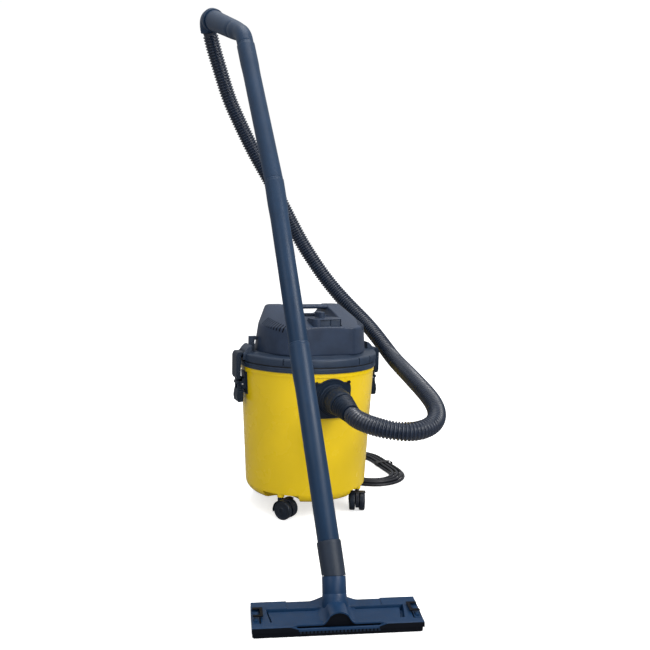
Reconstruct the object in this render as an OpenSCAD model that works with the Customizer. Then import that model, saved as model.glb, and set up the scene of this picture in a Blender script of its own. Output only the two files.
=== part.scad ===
// Wet and dry canister vacuum cleaner: a tank on four swivel casters, a lift-off motor head held by two
// side latches, a front inlet with its hose, a three-section wand and a flat floor nozzle.

/* [Tank] */
// Outer radius of the tank at its rim
tank_r = 160; // [158:0.5:161]
// Height of the rim above the floor
tank_top = 340; // [330:1:345]
// Height of the tank's bottom plate above the floor
tank_floor = 36; // [32:1:40]
// Wall thickness of the tank
tank_wall = 3; // [2.5:0.5:4]

/* [Head] */
// Radius of the upper band of the motor head
head_band_r = 165; // [164:0.5:167]
// Radius of the cover where it meets the band
cover_r = 132; // [128:1:134]
// Height of the deck of the cover above the floor
deck_z = 453; // [450:1:456]

/* [Casters] */
// Distance of each caster stem from the tank's axis, along X and along Y
caster_at = 96.5; // [94:0.5:98]
// Radius of a caster wheel
wheel_r = 22; // [21:0.5:22.5]
// Distance from the stem's axis to the wheel's axle
trail = 15; // [12:1:16]

/* [Inlet] */
// Height of the inlet's axis above the floor
inlet_z = 283; // [278:1:288]
// Bore radius of the inlet
inlet_r = 24.3; // [22:0.1:25]

/* [Wand] */
// Outer radius of a wand tube
tube_r = 19.25; // [18:0.25:19.25]
// Outer radius of a socket at a wand joint
socket_r = 20.6; // [20.2:0.1:21.5]
// Visible length of each wand tube
tube_l = 370; // [340:5:400]
// Lean of the wand back from the vertical
wand_tilt = 30.2; // [28:0.1:32]

/* [Nozzle] */
// Width of the floor nozzle
noz_w = 282; // [270:2:300]
// Depth of the floor nozzle, front to back
noz_d = 79; // [76:1:84]
// Height of the nozzle's shoulders
noz_h = 24; // [22:1:26]

/* [Hose and cord] */
// Outer radius of the corrugated hose
hose_r = 20; // [18:0.5:21]
// Radius of the mains cord
cord_r = 3.75; // [3.5:0.05:3.8]

/* [Hidden] */
$fn = 96;

// The tank's axis seen from the middle of the whole object's footprint
ox = 66.4;
oy = 180.6;

yellow = [0.86, 0.74, 0.14];
slate = [0.20, 0.25, 0.33];
navy = [0.13, 0.16, 0.22];
coal = [0.07, 0.07, 0.08];
steel = [0.68, 0.69, 0.71];
copper = [0.72, 0.45, 0.25];

function unit(v) = v / norm(v);
function tip(t, a) = [sin(t) * sin(a), sin(t) * cos(a), cos(t)];

module at_machine() translate([ox, oy, 0]) children();

// puts local +Z along z and local +X along the part of x that is square to it, with the origin at o
module place(o, z, x) {
  k = unit(z);
  i = unit(x - (x * k) * k);
  j = cross(k, i);
  multmatrix([[i.x, j.x, k.x, o.x], [i.y, j.y, k.y, o.y], [i.z, j.z, k.z, o.z], [0, 0, 0, 1]]) children();
}

module ring(ro, ri, z0, z1) difference() {
  translate([0, 0, z0]) cylinder(r = ro, h = z1 - z0);
  translate([0, 0, z0 - 1]) cylinder(r = ri, h = z1 - z0 + 2);
}

module rounded_rect(w, h, r) union() {
  square([w - 2 * r, h], center = true);
  square([w, h - 2 * r], center = true);
  for (x = [-1, 1], y = [-1, 1]) translate([x * (w / 2 - r), y * (h / 2 - r)]) circle(r = r);
}

// ---------------------------------------------------------------- tank
slope = 0.0519;
function wall_r(z) = tank_r - (tank_top - z) * slope;
fillet = 25;

module tank_form(inset, top) {
  rb = wall_r(tank_floor + fillet) - fillet;
  union() {
    translate([0, 0, tank_floor + fillet])
      cylinder(r1 = rb + fillet - inset, r2 = tank_r - inset, h = tank_top - tank_floor - fillet);
    if (top > 0) translate([0, 0, tank_top - 0.01]) cylinder(r = tank_r - inset, h = top);
    translate([0, 0, tank_floor + inset]) cylinder(r = rb, h = fillet);
    translate([0, 0, tank_floor + fillet]) rotate_extrude() translate([rb, 0]) circle(r = fillet - inset);
  }
}

module at_casters() for (x = [-1, 1], y = [-1, 1]) translate([x * caster_at, y * caster_at, 0]) children();

module tank() color(yellow) at_machine() difference() {
  union() {
    difference() {
      union() {
        tank_form(0, 0);
        translate([0, 0, tank_top - 9]) cylinder(r = tank_r + 1, h = 9);
      }
      difference() {
        tank_form(tank_wall, 2);
        at_casters() translate([0, 0, 30]) cylinder(r = 48, h = 28);
        at_casters() translate([0, 0, 50]) cylinder(r = 11, h = 25);
      }
      at_casters() translate([0, 0, 20]) cylinder(r = 45, h = 35);
    }
    at_casters() translate([0, 0, 48]) cylinder(r = 8.5, h = 9);
  }
  at_casters() translate([0, 0, 40]) cylinder(r = 5.55, h = 31);
  translate([0, 0, inlet_z]) rotate([90, 0, 0]) cylinder(r = 27.3, h = 200);
}

module rim_band() color(navy) at_machine() rotate_extrude()
  polygon([[152, 330], [156.2, 330], [156.2, 340], [163.4, 340], [164, 341], [164, 350.5], [163, 352], [152, 352]]);

// ---------------------------------------------------------------- inlet
module at_inlet() translate([0, 0, inlet_z]) rotate([90, 0, 0]) children();

module inlet_flange() color(navy) at_machine() difference() {
  union() {
    intersection() {
      difference() {
        translate([0, 0, 200]) cylinder(r1 = wall_r(200) + 5, r2 = wall_r(340) + 5, h = 140);
        translate([0, 0, 199.9]) cylinder(r1 = wall_r(199.9) + 0.01, r2 = wall_r(340.1) + 0.01, h = 140.2);
      }
      at_inlet() linear_extrude(height = 200) rounded_rect(96, 92, 16);
    }
    difference() {
      at_inlet() { cylinder(r = 35, h = 170); cylinder(r = 31, h = 181); }
      translate([0, 0, 200]) cylinder(r1 = wall_r(200) + 0.01, r2 = wall_r(340) + 0.01, h = 140);
    }
    difference() {
      at_inlet() cylinder(r = 27, h = 170);
      at_inlet() cylinder(r = 30, h = 149);
    }
  }
  at_inlet() cylinder(r = inlet_r, h = 200);
  at_inlet() translate([0, 0, 176]) cylinder(r = 28, h = 10);
  for (x = [-1, 1], z = [-1, 1]) at_inlet() translate([x * 39, z * 37, 130]) cylinder(r = 2.1, h = 60);
}

module inlet_screws() color(steel) at_machine() for (x = [-1, 1], z = [-1, 1]) at_inlet()
  translate([x * 39, z * 37, 0]) {
    translate([0, 0, sqrt(pow(wall_r(inlet_z + z * 37) - tank_wall, 2) - 39 * 39) + 4.5]) cylinder(r = 2, h = 7);
    translate([0, 0, sqrt(pow(wall_r(inlet_z + z * 37) + 5, 2) - 39 * 39) + 1.3]) cylinder(r = 3.6, h = 2.2);
  }

module inlet_seal() color(coal) at_machine() at_inlet() ring(28, 24.4, 176, 180);

module inlet_deflector() color(navy) at_machine() difference() {
  union() {
    at_inlet() translate([0, 0, 120]) cylinder(r = 30, h = 28.5);
    at_inlet() translate([0, 0, 112]) cylinder(r = 30, h = 10);
  }
  at_inlet() translate([0, 0, 116]) cylinder(r = inlet_r, h = 60);
  translate([-20, -150, inlet_z - 40]) cube([40, 34, 36]);
}

connector_tilt = 12;
module at_connector() translate([0, -203, inlet_z]) rotate([90 + connector_tilt, 0, 0]) children();

module hose_connector() color(navy) at_machine() difference() {
  union() {
    at_inlet() translate([0, 0, 160]) cylinder(r = 24, h = 30);
    at_inlet() translate([0, 0, 182]) cylinder(r = 30, h = 16);
    at_inlet() translate([0, 0, 197]) cylinder(r1 = 28.6, r2 = 27.2, h = 8);
    at_connector() { cylinder(r = 28, h = 14); translate([0, 0, 14]) cylinder(r1 = 28, r2 = 24, h = 30);
      translate([0, 0, 43.5]) cylinder(r = 23, h = 16.5); }
  }
  at_inlet() translate([0, 0, 150]) cylinder(r = 20, h = 55);
  at_connector() translate([0, 0, -1]) cylinder(r = 19.4, h = 43);
  at_connector() translate([0, 0, 41]) cylinder(r = 17, h = 30);
}

// ---------------------------------------------------------------- hose
// Centre line from the connector's mouth to the cuff at the wand's handle
hose_route = [[0, -262.6, 270.3], [0, -285, 265.5], [17, -322, 259], [50, -357, 253], [93, -372, 251], [137, -363, 257],
  [172, -330, 268], [190, -285, 285], [197, -230, 301], [201, -165, 319], [212, -100, 330], [226, -40, 336],
  [238, 15, 344], [236, 55, 365], [228, 95, 393], [218, 137, 420], [204, 170, 443], [176, 210, 483],
  [145, 240, 528], [112, 265, 582], [81, 285, 637], [44, 300, 712], [1, 315, 798], [-32, 320, 850],
  [-60, 325, 902], [-87, 325, 953], [-114, 320, 1002], [-134, 311, 1051], [-152, 303, 1096],
  [-167.2, 293.4, 1132.6], [-176.3, 285.1, 1160]];

// cord from the gland on the head, down behind the tank and on to its coil
cord_route = [[89, 127, 400], [96, 137, 399], [105, 150, 392], [113, 161, 370], [118, 168, 330], [121, 172, 280],
  [122, 174, 220], [123, 174, 160], [125, 172, 110], [130, 166, 65], [137, 162, 42], [142, 164, 28], [144.5, 172, 20],
  [146, 184, 17.3]];
tail_route = [[134.5, 272, 6.5], [134.5, 281, 6.5], [138, 290, 8], [145, 296, 10], [145, 302, 10]];

// uniform cubic B-spline that starts at the first point and ends at the last
function padded(p) = concat([2 * p[0] - p[1]], p, [2 * p[len(p) - 1] - p[len(p) - 2]]);
function bspline(q, i, t) = (pow(1 - t, 3) * q[i] + (3 * t * t * t - 6 * t * t + 4) * q[i + 1]
  + (-3 * t * t * t + 3 * t * t + 3 * t + 1) * q[i + 2] + t * t * t * q[i + 3]) / 6;
function curve(p, per) = let (q = padded(p), n = len(p) - 1)
  [for (k = [0 : n * per]) let (i = min(floor(k / per), n - 1)) bspline(q, i, k / per - i)];
function tangent(c, k) = unit(c[min(k + 1, len(c) - 1)] - c[max(k - 1, 0)]);

module sweep(c, r, sides, ref) {
  n = len(c);
  pts = [for (k = [0 : n - 1]) let (t = tangent(c, k), a = unit(cross(t, ref)), b = cross(t, a))
    for (s = [0 : sides - 1]) c[k] + r * (cos(360 * s / sides) * a + sin(360 * s / sides) * b)];
  sidefaces = [for (k = [0 : n - 2], s = [0 : sides - 1]) let (s2 = (s + 1) % sides)
    [k * sides + s, k * sides + s2, (k + 1) * sides + s2, (k + 1) * sides + s]];
  polyhedron(points = pts, faces = concat([[for (s = [sides - 1 : -1 : 0]) s]], sidefaces,
    [[for (s = [0 : sides - 1]) (n - 1) * sides + s]]), convexity = 6);
}

module hose() color(navy) at_machine() sweep(curve(hose_route, 2), hose_r, 12, [1, 0.5, 0.8]);

// ---------------------------------------------------------------- power cord
coil_c = [236, 185];
coil_mean = 78;
coil_half = 22;
coil_straight = 60;
coil_h = 13;

module stadium(r) union() {
  for (y = [-1, 1]) translate([0, y * coil_straight]) circle(r = r);
  square([2 * r, 2 * coil_straight], center = true);
}

module cord_coil() color(coal) at_machine() translate([coil_c.x, coil_c.y, 0]) linear_extrude(height = coil_h)
  difference() { stadium(coil_mean + coil_half); stadium(coil_mean - coil_half); }

module cord_run() color(coal) at_machine() sweep(curve(cord_route, 2), cord_r, 8, [1, -0.8, 0.3]);
module cord_tail() color(coal) at_machine() sweep(curve(tail_route, 2), cord_r, 8, [1, 0, 0.3]);

module plug() color(coal) at_machine() translate([145, 302, 14]) rotate([-90, 0, 0]) {
  difference() {
    union() {
      translate([0, 4, 0]) cylinder(r1 = 6, r2 = 9, h = 14);
      translate([0, 0, 14]) cylinder(r = 14, h = 30);
    }
    translate([0, 4, -1]) cylinder(r = cord_r, h = 8);
  }
  for (x = [-9.5, 9.5]) translate([x, 0, 43]) cylinder(r = 2.4, h = 19);
}

// ---------------------------------------------------------------- latches (right side; the left is its mirror)
pin_x = 168; pin_z = 300;          // pin in the bracket on the tank
link_x = 176; link_z = 302;        // pin between the lever and the hook

module plate_y(y0, y1) translate([0, y1, 0]) rotate([90, 0, 0]) linear_extrude(height = y1 - y0) children();

module bracket_right() difference() {
  union() {
    intersection() {
      difference() {
        translate([0, 0, 270]) cylinder(r1 = wall_r(270) + 2.5, r2 = wall_r(330) + 2.5, h = 60);
        translate([0, 0, 269]) cylinder(r1 = wall_r(269) + 0.01, r2 = wall_r(331) + 0.01, h = 62);
      }
      translate([140, -22, 276]) cube([40, 44, 52]);
    }
    for (y = [-18.5, 14.3]) difference() {
      plate_y(y, y + 4.2) union() {
        translate([150, 288]) square([18, 24]);
        translate([pin_x, pin_z]) circle(r = 6);
      }
      translate([0, 0, 260]) cylinder(r1 = wall_r(260) + 0.5, r2 = wall_r(340) + 0.5, h = 80);
    }
  }
  translate([pin_x, 30, pin_z]) rotate([90, 0, 0]) cylinder(r = 2, h = 60);
}

module both_sides() { children(); mirror([1, 0, 0]) children(); }

module latch_brackets() color(navy) at_machine() both_sides() bracket_right();
module latch_pins() color(steel) at_machine() both_sides()
  translate([pin_x, 19.5, pin_z]) rotate([90, 0, 0]) cylinder(r = 2, h = 39);

module lever_right() difference() {
  union() {
    for (y = [-13.8, 6.8]) plate_y(y, y + 7) union() {
      translate([pin_x, pin_z]) circle(r = 4.6);
      translate([link_x, link_z]) circle(r = 4.4);
      translate([pin_x - 1, 286]) square([10.5, 17]);
    }
    plate_y(-13.8, 13.8) translate([164.4, 280]) square([14, 8]);
    plate_y(-17, 17) polygon([[164.4, 284], [178.4, 284], [180, 270], [178.5, 259], [176, 256.5], [167, 256.5],
      [164.5, 260]]);
    translate([link_x, 10, link_z]) rotate([90, 0, 0]) cylinder(r = 2, h = 20);
  }
  translate([pin_x, 30, pin_z]) rotate([90, 0, 0]) cylinder(r = 2.05, h = 60);
}

module hook_right() difference() {
  union() {
    plate_y(-6.4, 6.4) union() {
      translate([link_x, link_z]) circle(r = 4.2);
      translate([link_x - 3.8, link_z]) square([7.6, 14]);
    }
    plate_y(-20, 20) polygon([[172.2, 312], [180, 312], [183, 318], [183, 366], [180, 373], [177, 375], [162.4, 375],
      [162.4, 370.5], [169, 369.5], [172.2, 366]]);
  }
  translate([link_x, 30, link_z]) rotate([90, 0, 0]) cylinder(r = 2.05, h = 60);
  translate([174.5, -16, 318]) cube([2.6, 32, 40]);
}

module latch_lever_right() color(navy) at_machine() lever_right();
module latch_lever_left() color(navy) at_machine() mirror([1, 0, 0]) lever_right();
module latch_hook_right() color(navy) at_machine() hook_right();
module latch_hook_left() color(navy) at_machine() mirror([1, 0, 0]) hook_right();

// ---------------------------------------------------------------- head
module head_base() color(slate) at_machine() difference() {
  union() {
    rotate_extrude() polygon([[60, 360], [146, 360], [146, 338], [149, 338], [149, 354.4], [head_band_r - 0.6, 354.4],
      [head_band_r, 356], [head_band_r, 370], [head_band_r - 2, 372.5], [140, 375], [126, 375], [126, 364], [60, 364]]);
    both_sides() intersection() {
      plate_y(-25, 25) polygon([[147, 355], [169, 355], [169, 372], [164, 376], [158, 384.5], [152, 389.5], [147, 391]]);
      translate([0, 0, 354.4]) cylinder(r = 168.4, h = 40);
    }
    translate([-148, -7, 372]) cube([12, 14, 37.5]);
    translate([-148, -7, 401]) cube([18.2, 14, 8.5]);
  }
  both_sides() translate([161.6, -20.6, 350]) cube([20, 41.2, 31]);
  for (a = [-40.2, -24.4, 24.4, 40.2]) rotate([0, 0, a]) translate([-1.2, -170, 357]) cube([2.4, 8, 18]);
  for (a = [45, 135, 225, 315]) rotate([0, 0, a]) translate([121, 0, 340]) cylinder(r = 2.1, h = 40);
}

module head_seal() color(coal) at_machine() ring(161, 153, 352, 354.4);

// outer form of the cover: a wall that leans in, under two humps at the back
module shell(inset) hull() {
  translate([0, 0, inset > 0 ? 374 : 375]) cylinder(r = cover_r - 3 - inset, h = 0.8);
  translate([0, -12, inset > 0 ? 374 : 375]) cylinder(r = cover_r + 0.5 - inset, h = 0.8);
  translate([0, 0, 437 - inset / 2]) cylinder(r = cover_r - 13 - inset, h = 0.8);
  translate([0, -18, 437 - inset / 2]) cylinder(r = cover_r - 6.4 - inset, h = 0.8);
  for (x = [-76, 76]) translate([x, 37, 0]) {
    translate([0, 0, 475 - inset]) cylinder(r = 22 - inset, h = 0.8, $fn = 48);
    translate([0, 0, 479.7 - inset]) cylinder(r = 16 - inset, h = 0.8, $fn = 48);
  }
}

// channel between the humps, over the deck
module channel(inset) translate([0, 160, 0]) rotate([90, 0, 0]) linear_extrude(height = 320)
  polygon([[-50 - inset, deck_z - inset], [50 + inset, deck_z - inset], [56 + inset, 500], [-56 - inset, 500]]);

module cover_form(inset) difference() {
  shell(inset);
  channel(inset);
  translate([-160, -260 + inset, 360]) cube([320, 133, 140]);
}

module vents() for (i = [0 : 9]) rotate([0, 0, 45 + i * 3.7]) translate([0, -118, 435 + i * 1.3]) rotate([0, 20, 0])
  cube([2.8, 44, 16], center = true);

module head_cover() color(slate) at_machine() difference() {
  cover_form(0);
  cover_form(3);
  both_sides() vents();
  translate([-47.1, -5.1, 437.9]) cube([94.2, 70.2, 60]);
  translate([0, 100, 408]) rotate([-90, 0, 0]) cylinder(r = 27.3, h = 60);
  place([0, 0, 400], [0.574, 0.819, 0], [0, 0, 1]) translate([0, 0, 110]) cylinder(r = 7.2, h = 60);
  translate([pod_at.x - 7, pod_at.y, 430]) linear_extrude(height = 60) rounded_rect(72.2, 50.2, 9.1);
}

module carry_handle() color(slate) at_machine() {
  difference() {
    translate([0, 30, 474.8]) rotate([0, 90, 0]) linear_extrude(height = 112, center = true) rounded_rect(11.2, 30, 5.5);
    cover_form(-0.02);
  }
  difference() {
    translate([-47, -5, 438]) cube([94, 70, 15]);
    translate([-44, -2, 441]) cube([88, 64, 60]);
  }
}

module cover_screws() color(steel) at_machine() for (a = [45, 135, 225, 315]) rotate([0, 0, a]) translate([121, 0, 0]) {
  translate([0, 0, 358]) cylinder(r = 2, h = 17);
  translate([0, 0, 356]) cylinder(r = 4, h = 3.9);
}

pod_at = [8, -99];
module switch_pod() color(slate) at_machine() translate([pod_at.x, pod_at.y, 0]) difference() {
  union() {
    translate([-7, 0, 438]) linear_extrude(height = 21.5) rounded_rect(72, 50, 9);
    translate([-18, 2, 459]) linear_extrude(height = 15) rounded_rect(15, 30, 6);
  }
  translate([-26.2, -32, 440.5]) cube([52.4, 23, 17]);
  translate([-26.2, -10, 436]) cube([52.4, 32, 21.5]);
}

module switch_body() color(coal) at_machine() translate([pod_at.x, pod_at.y, 0]) difference() {
  translate([-24, -8, 441]) cube([48, 27, 16]);
  translate([0, -14, 430]) cylinder(r = 9.6, h = 40);
}

rocker_at = [8, -113, 449];
module switch_rocker() color(coal) at_machine() translate(rocker_at) rotate([0, 0, -6]) difference() {
  union() {
    translate([-23.4, -8, -7.5]) cube([46.8, 6, 15]);
    translate([0, 0, -7.5]) cylinder(r = 4, h = 15);
    translate([-3, -6, -7.5]) cube([6, 6, 15]);
  }
  translate([-0.8, -9, -6.5]) cube([1.6, 3, 13]);
}

module blower_port() color(slate) at_machine() difference() {
  translate([0, 112, 408]) rotate([-90, 0, 0]) { cylinder(r = 24, h = 36); translate([0, 0, 7.5]) cylinder(r = 27, h = 7.7); }
  translate([0, 111, 408]) rotate([-90, 0, 0]) cylinder(r = 19, h = 40);
}

module cord_gland() color(coal) at_machine() place([0, 0, 400], [0.574, 0.819, 0], [0, 0, 1]) difference() {
  union() {
    translate([0, 0, 118]) cylinder(r = 7, h = 9.4);
    translate([0, 0, 127.2]) cylinder(r1 = 10, r2 = 9, h = 3);
    translate([0, 0, 130]) cylinder(r1 = 8, r2 = 5.2, h = 24.7);
  }
  translate([0, 0, 110]) cylinder(r = cord_r + 0.1, h = 60);
}

// ---------------------------------------------------------------- motor and filter
module fan_shroud() color(steel) at_machine() rotate_extrude()
  polygon([[24, 318], [66, 318], [66, 360], [64, 360], [64, 320], [24, 320]]);
module motor_mount() color(coal) at_machine() ring(60, 48, 360, 364);
module motor_bracket_lower() color(steel) at_machine() difference() {
  union() { translate([0, 0, 364]) cylinder(r = 64, h = 3); translate([0, 0, 364]) cylinder(r = 46, h = 8); }
  translate([0, 0, 360]) cylinder(r = 5, h = 20);
  translate([0, 0, 367]) cylinder(r = 11, h = 10);
}
module motor_bearings() color(steel) at_machine() { ring(11, 4.02, 367, 372); ring(11, 4.02, 431, 436); }
module motor_stator() color(copper) at_machine() difference() {
  ring(46, 24.6, 372, 420);
  for (a = [0, 90, 180, 270]) rotate([0, 0, a + 45]) translate([34, 0, 371]) cylinder(r = 6, h = 60);
}
module motor_bracket_upper() color(steel) at_machine() difference() {
  union() { ring(46, 40, 420, 430); translate([0, 0, 428]) cylinder(r = 46, h = 8); }
  translate([0, 0, 400]) cylinder(r = 5, h = 60);
  translate([0, 0, 431]) cylinder(r = 11, h = 10);
  for (a = [0, 90, 180, 270]) rotate([0, 0, a]) translate([28, 0, 400]) cylinder(r = 7, h = 60);
}
module motor_brushes() color(coal) at_machine() for (a = [45, 225]) rotate([0, 0, a])
  translate([13.5, -3, 421.5]) cube([26.2, 6, 6]);
module motor_rotor() color(steel) at_machine() union() {
  translate([0, 0, 322]) cylinder(r = 4, h = 115);
  translate([0, 0, 375]) cylinder(r = 24, h = 42);
  translate([0, 0, 421]) cylinder(r = 13, h = 7);
}
module impeller() color(steel) at_machine() difference() {
  union() {
    ring(58, 4.02, 345, 347);
    ring(58, 22, 330, 332);
    ring(9, 4.02, 332, 346);
    for (a = [0 : 45 : 315]) rotate([0, 0, a]) translate([21, -1, 331]) rotate([0, 0, 24]) cube([36, 2, 15]);
  }
  difference() { translate([0, 0, 320]) cylinder(r = 80, h = 40); translate([0, 0, 319]) cylinder(r = 58, h = 42); }
}
module filter_cage() color(slate) at_machine() {
  difference() {
    union() {
      ring(68.5, 66, 240, 318);
      ring(75, 60, 314.5, 318);
      translate([0, 0, 237]) cylinder(r = 78, h = 3);
    }
    for (a = [0 : 45 : 315]) rotate([0, 0, a]) translate([50, -19, 248]) cube([30, 38, 58]);
  }
  translate([0, 0, 239]) cylinder(r = 3, h = 66);
}
module filter_sleeve() color(coal) at_machine() ring(78, 69, 240.2, 314);
module float_valve() color("white") at_machine() difference() {
  union() { translate([0, 0, 246]) cylinder(r = 30, h = 40); translate([0, 0, 286]) cylinder(r = 22, h = 6); }
  translate([0, 0, 230]) cylinder(r = 3.08, h = 80);
  translate([0, 0, 240]) ring(27, 6, 0, 42);
}

// ---------------------------------------------------------------- casters
module caster() {
  translate([0, 0, 44]) cylinder(r = 5.5, h = 26);
  translate([0, 0, 44.4]) cylinder(r = 6.3, h = 3.3);
  plate_y(-4, 4) difference() {
    union() {
      translate([trail, wheel_r]) circle(r = wheel_r + 1.6);
      translate([-6.3, 24]) square([20, 18]);
      translate([-6.3, 36]) square([12.6, 9]);
    }
    translate([-50, -50]) square([120, 62]);
  }
  plate_y(-19.6, 19.6) difference() {
    translate([trail, wheel_r]) circle(r = wheel_r + 2);
    translate([trail, wheel_r]) circle(r = wheel_r + 0.6);
    translate([-50, -50]) square([120, 66]);
    translate([trail + 9, -50]) square([100, 200]);
  }
  translate([trail, 18.5, wheel_r]) rotate([90, 0, 0]) cylinder(r = 2.5, h = 37);
}
module wheel() translate([trail, 0, wheel_r]) rotate([-90, 0, 0]) difference() {
  union() {
    translate([0, 0, 4.8]) cylinder(r1 = wheel_r - 1.5, r2 = wheel_r, h = 1.5);
    translate([0, 0, 6.3]) cylinder(r = wheel_r, h = 10.7);
    translate([0, 0, 17]) cylinder(r1 = wheel_r, r2 = wheel_r - 3.5, h = 2.8);
  }
  translate([0, 0, -1]) cylinder(r = 2.55, h = 20.3);
}
module at_caster(x, y, a) at_machine() translate([x * caster_at, y * caster_at, 0]) rotate([0, 0, a]) children();
module wheel_pair() { wheel(); mirror([0, 1, 0]) wheel(); }

fl_turn = -54.5; fr_turn = -112.5; rl_turn = -20; rr_turn = 35;
module caster_front_left() color(coal) at_caster(-1, -1, fl_turn) caster();
module caster_front_right() color(coal) at_caster(1, -1, fr_turn) caster();
module caster_rear_left() color(coal) at_caster(-1, 1, rl_turn) caster();
module caster_rear_right() color(coal) at_caster(1, 1, rr_turn) caster();
module wheels_front_left() color(coal) at_caster(-1, -1, fl_turn) wheel_pair();
module wheels_front_right() color(coal) at_caster(1, -1, fr_turn) wheel_pair();
module wheels_rear_left() color(coal) at_caster(-1, 1, rl_turn) wheel_pair();
module wheels_rear_right() color(coal) at_caster(1, 1, rr_turn) wheel_pair();

// ---------------------------------------------------------------- nozzle, neck and wand
noz_at = [-181.5, -635, 0];
noz_yaw = 15;
neck_tilt = 24;
neck_base = [0, 62, 34];
neck_l = 35.5;
wand_yaw = 2.3;
top_tilt = 31;
top_yaw = -2.8;

noz_dir = [sin(noz_yaw), cos(noz_yaw), 0];
neck_n = tip(neck_tilt, noz_yaw);
neck_b = noz_at + noz_dir * neck_base.y + [0, 0, neck_base.z];
knee = neck_b + neck_n * neck_l;
wand_u = tip(wand_tilt, wand_yaw);
j3 = knee + wand_u * 58;
j2 = j3 + wand_u * tube_l;
j1 = j2 + wand_u * tube_l;
top_u = tip(top_tilt, top_yaw);
j0 = j1 + top_u * tube_l;
side = [1, 0, 0];

module at_nozzle() at_machine() translate(noz_at) rotate([0, 0, -noz_yaw]) children();

module nozzle_neck() color(slate) at_machine() place(neck_b, neck_n, side) difference() {
  union() {
    translate([0, 0, -16]) cylinder(r1 = 22, r2 = 21.3, h = 16);
    cylinder(r = 21.3, h = neck_l);
  }
  translate([0, 0, -20]) cylinder(r = 17, h = 80);
}

module hump_form(r, y0, y1) translate([0, y0, 0]) rotate([-90, 0, 0]) linear_extrude(height = y1 - y0)
  translate([0, -16]) circle(r = r);

module nozzle_cover() color(slate) difference() {
  at_nozzle() difference() {
    union() {
      translate([0, noz_d / 2 + 1.5, 9]) linear_extrude(height = noz_h - 9 - 2) rounded_rect(noz_w, noz_d - 3, 5);
      translate([0, noz_d / 2 + 1.5, noz_h - 2.01]) linear_extrude(height = 2.01) rounded_rect(noz_w - 3, noz_d - 6, 5);
      translate([-66, 0, 12]) cube([134, 6, 5]);
      intersection() { hump_form(24, 6, 74); translate([-40, 0, 9]) cube([80, 100, 60]); }
    }
    translate([0, noz_d / 2 + 1.5, 7]) linear_extrude(height = noz_h - 9.5) rounded_rect(noz_w - 6, noz_d - 9, 3);
    intersection() { hump_form(21.4, 8.5, 71.5); translate([-40, 0, 7]) cube([80, 100, 60]); }
    translate([-116, 22, noz_h - 2]) cube([84, 30, 5]);
    translate([32, 22, noz_h - 2]) cube([84, 30, 5]);
  }
  at_machine() place(neck_b, neck_n, side) translate([0, 0, -20]) cylinder(r = 21.4, h = 60);
  at_machine() place(neck_b, neck_n, side) translate([0, 0, -20]) cylinder(r = 22.1, h = 21);
}

module nozzle_sole() color(navy) at_nozzle() difference() {
  translate([0, noz_d / 2 + 1, 0]) linear_extrude(height = 9) rounded_rect(noz_w - 2, noz_d - 2, 5);
  translate([-118, 22, -1]) cube([236, 24, 20]);
  translate([-132, 8, 4]) cube([264, 64, 10]);
  for (y = [11, 54]) translate([-128, y, -1]) cube([256, 4, 8]);
}

module nozzle_strips() color(coal) at_nozzle() for (y = [11.1, 54.1]) translate([-127.8, y, 0]) cube([255.6, 3.8, 8]);

module nozzle_clips() color(navy) at_nozzle() both_sides() difference() {
  translate([122, 26, noz_h]) cube([17, 30, 1.8]);
  translate([127, 31, noz_h - 1]) cube([14, 20, 5]);
}

module wand_sleeve() color(navy) at_machine() difference() {
  union() {
    difference() {
      place(knee, wand_u, side) translate([0, 0, -6]) cylinder(r = 21.2, h = 64);
      place(knee, neck_n, side) translate([-40, -40, -39.6]) cube([80, 80, 40]);
    }
    place(knee, neck_n, side) translate([0, 0, -24]) cylinder(r = 16.95, h = 30);
  }
  place(knee, neck_n, side) translate([0, 0, -30]) cylinder(r = 14.5, h = 36);
  place(knee, wand_u, side) translate([0, 0, 0]) cylinder(r = 14.5, h = 70);
  place(knee, wand_u, side) translate([0, 0, 24]) cylinder(r = tube_r + 0.05, h = 50);
}

module wand_tube(o, u, low, high) place(o, u, side) difference() {
  union() {
    translate([0, 0, low]) cylinder(r = tube_r, h = high - low - 1);
    translate([0, 0, high - 66]) cylinder(r1 = tube_r, r2 = socket_r, h = 6);
    translate([0, 0, high - 60]) cylinder(r = socket_r, h = 60);
  }
  translate([0, 0, low - 1]) cylinder(r = tube_r - 2, h = high - low + 2);
  translate([0, 0, high - 40]) cylinder(r = tube_r + 0.05, h = 50);
}

module wand_tube_lower() color(slate) at_machine() wand_tube(j3, wand_u, -33, tube_l);
module wand_tube_middle() color(slate) at_machine() wand_tube(j2, wand_u, -38, tube_l);
module wand_tube_upper() color(slate) at_machine() difference() {
  union() {
    place(j1, top_u, side) {
      translate([0, 0, 1.3]) cylinder(r = tube_r + 0.4, h = tube_l - 2.3);
      translate([0, 0, tube_l - 66]) cylinder(r1 = tube_r + 0.4, r2 = socket_r, h = 6);
      translate([0, 0, tube_l - 60]) cylinder(r = socket_r, h = 60);
    }
    place(j1, wand_u, side) translate([0, 0, -38]) cylinder(r = tube_r, h = 41);
  }
  place(j1, wand_u, side) translate([0, 0, -40]) cylinder(r = tube_r - 2, h = 42.5);
  place(j1, top_u, side) translate([0, 0, 1]) cylinder(r = tube_r - 2.4, h = tube_l);
  place(j1, top_u, side) translate([0, 0, tube_l - 40]) cylinder(r = tube_r + 0.05, h = 50);
}

// handle bend and grip
grip_rise = 21.6;
grip_yaw = -8;
grip_l = 190;
grip_u = tip(90 - grip_rise, grip_yaw);
bend_at = j0 + top_u * 35;
bend_a = acos(top_u * grip_u);
bend_n = unit(cross(top_u, grip_u));
bend_in = cross(bend_n, top_u);
bend_r = 60;
bend_t = bend_r * tan(bend_a / 2);
grip_end = bend_at + grip_u * grip_l;

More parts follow.
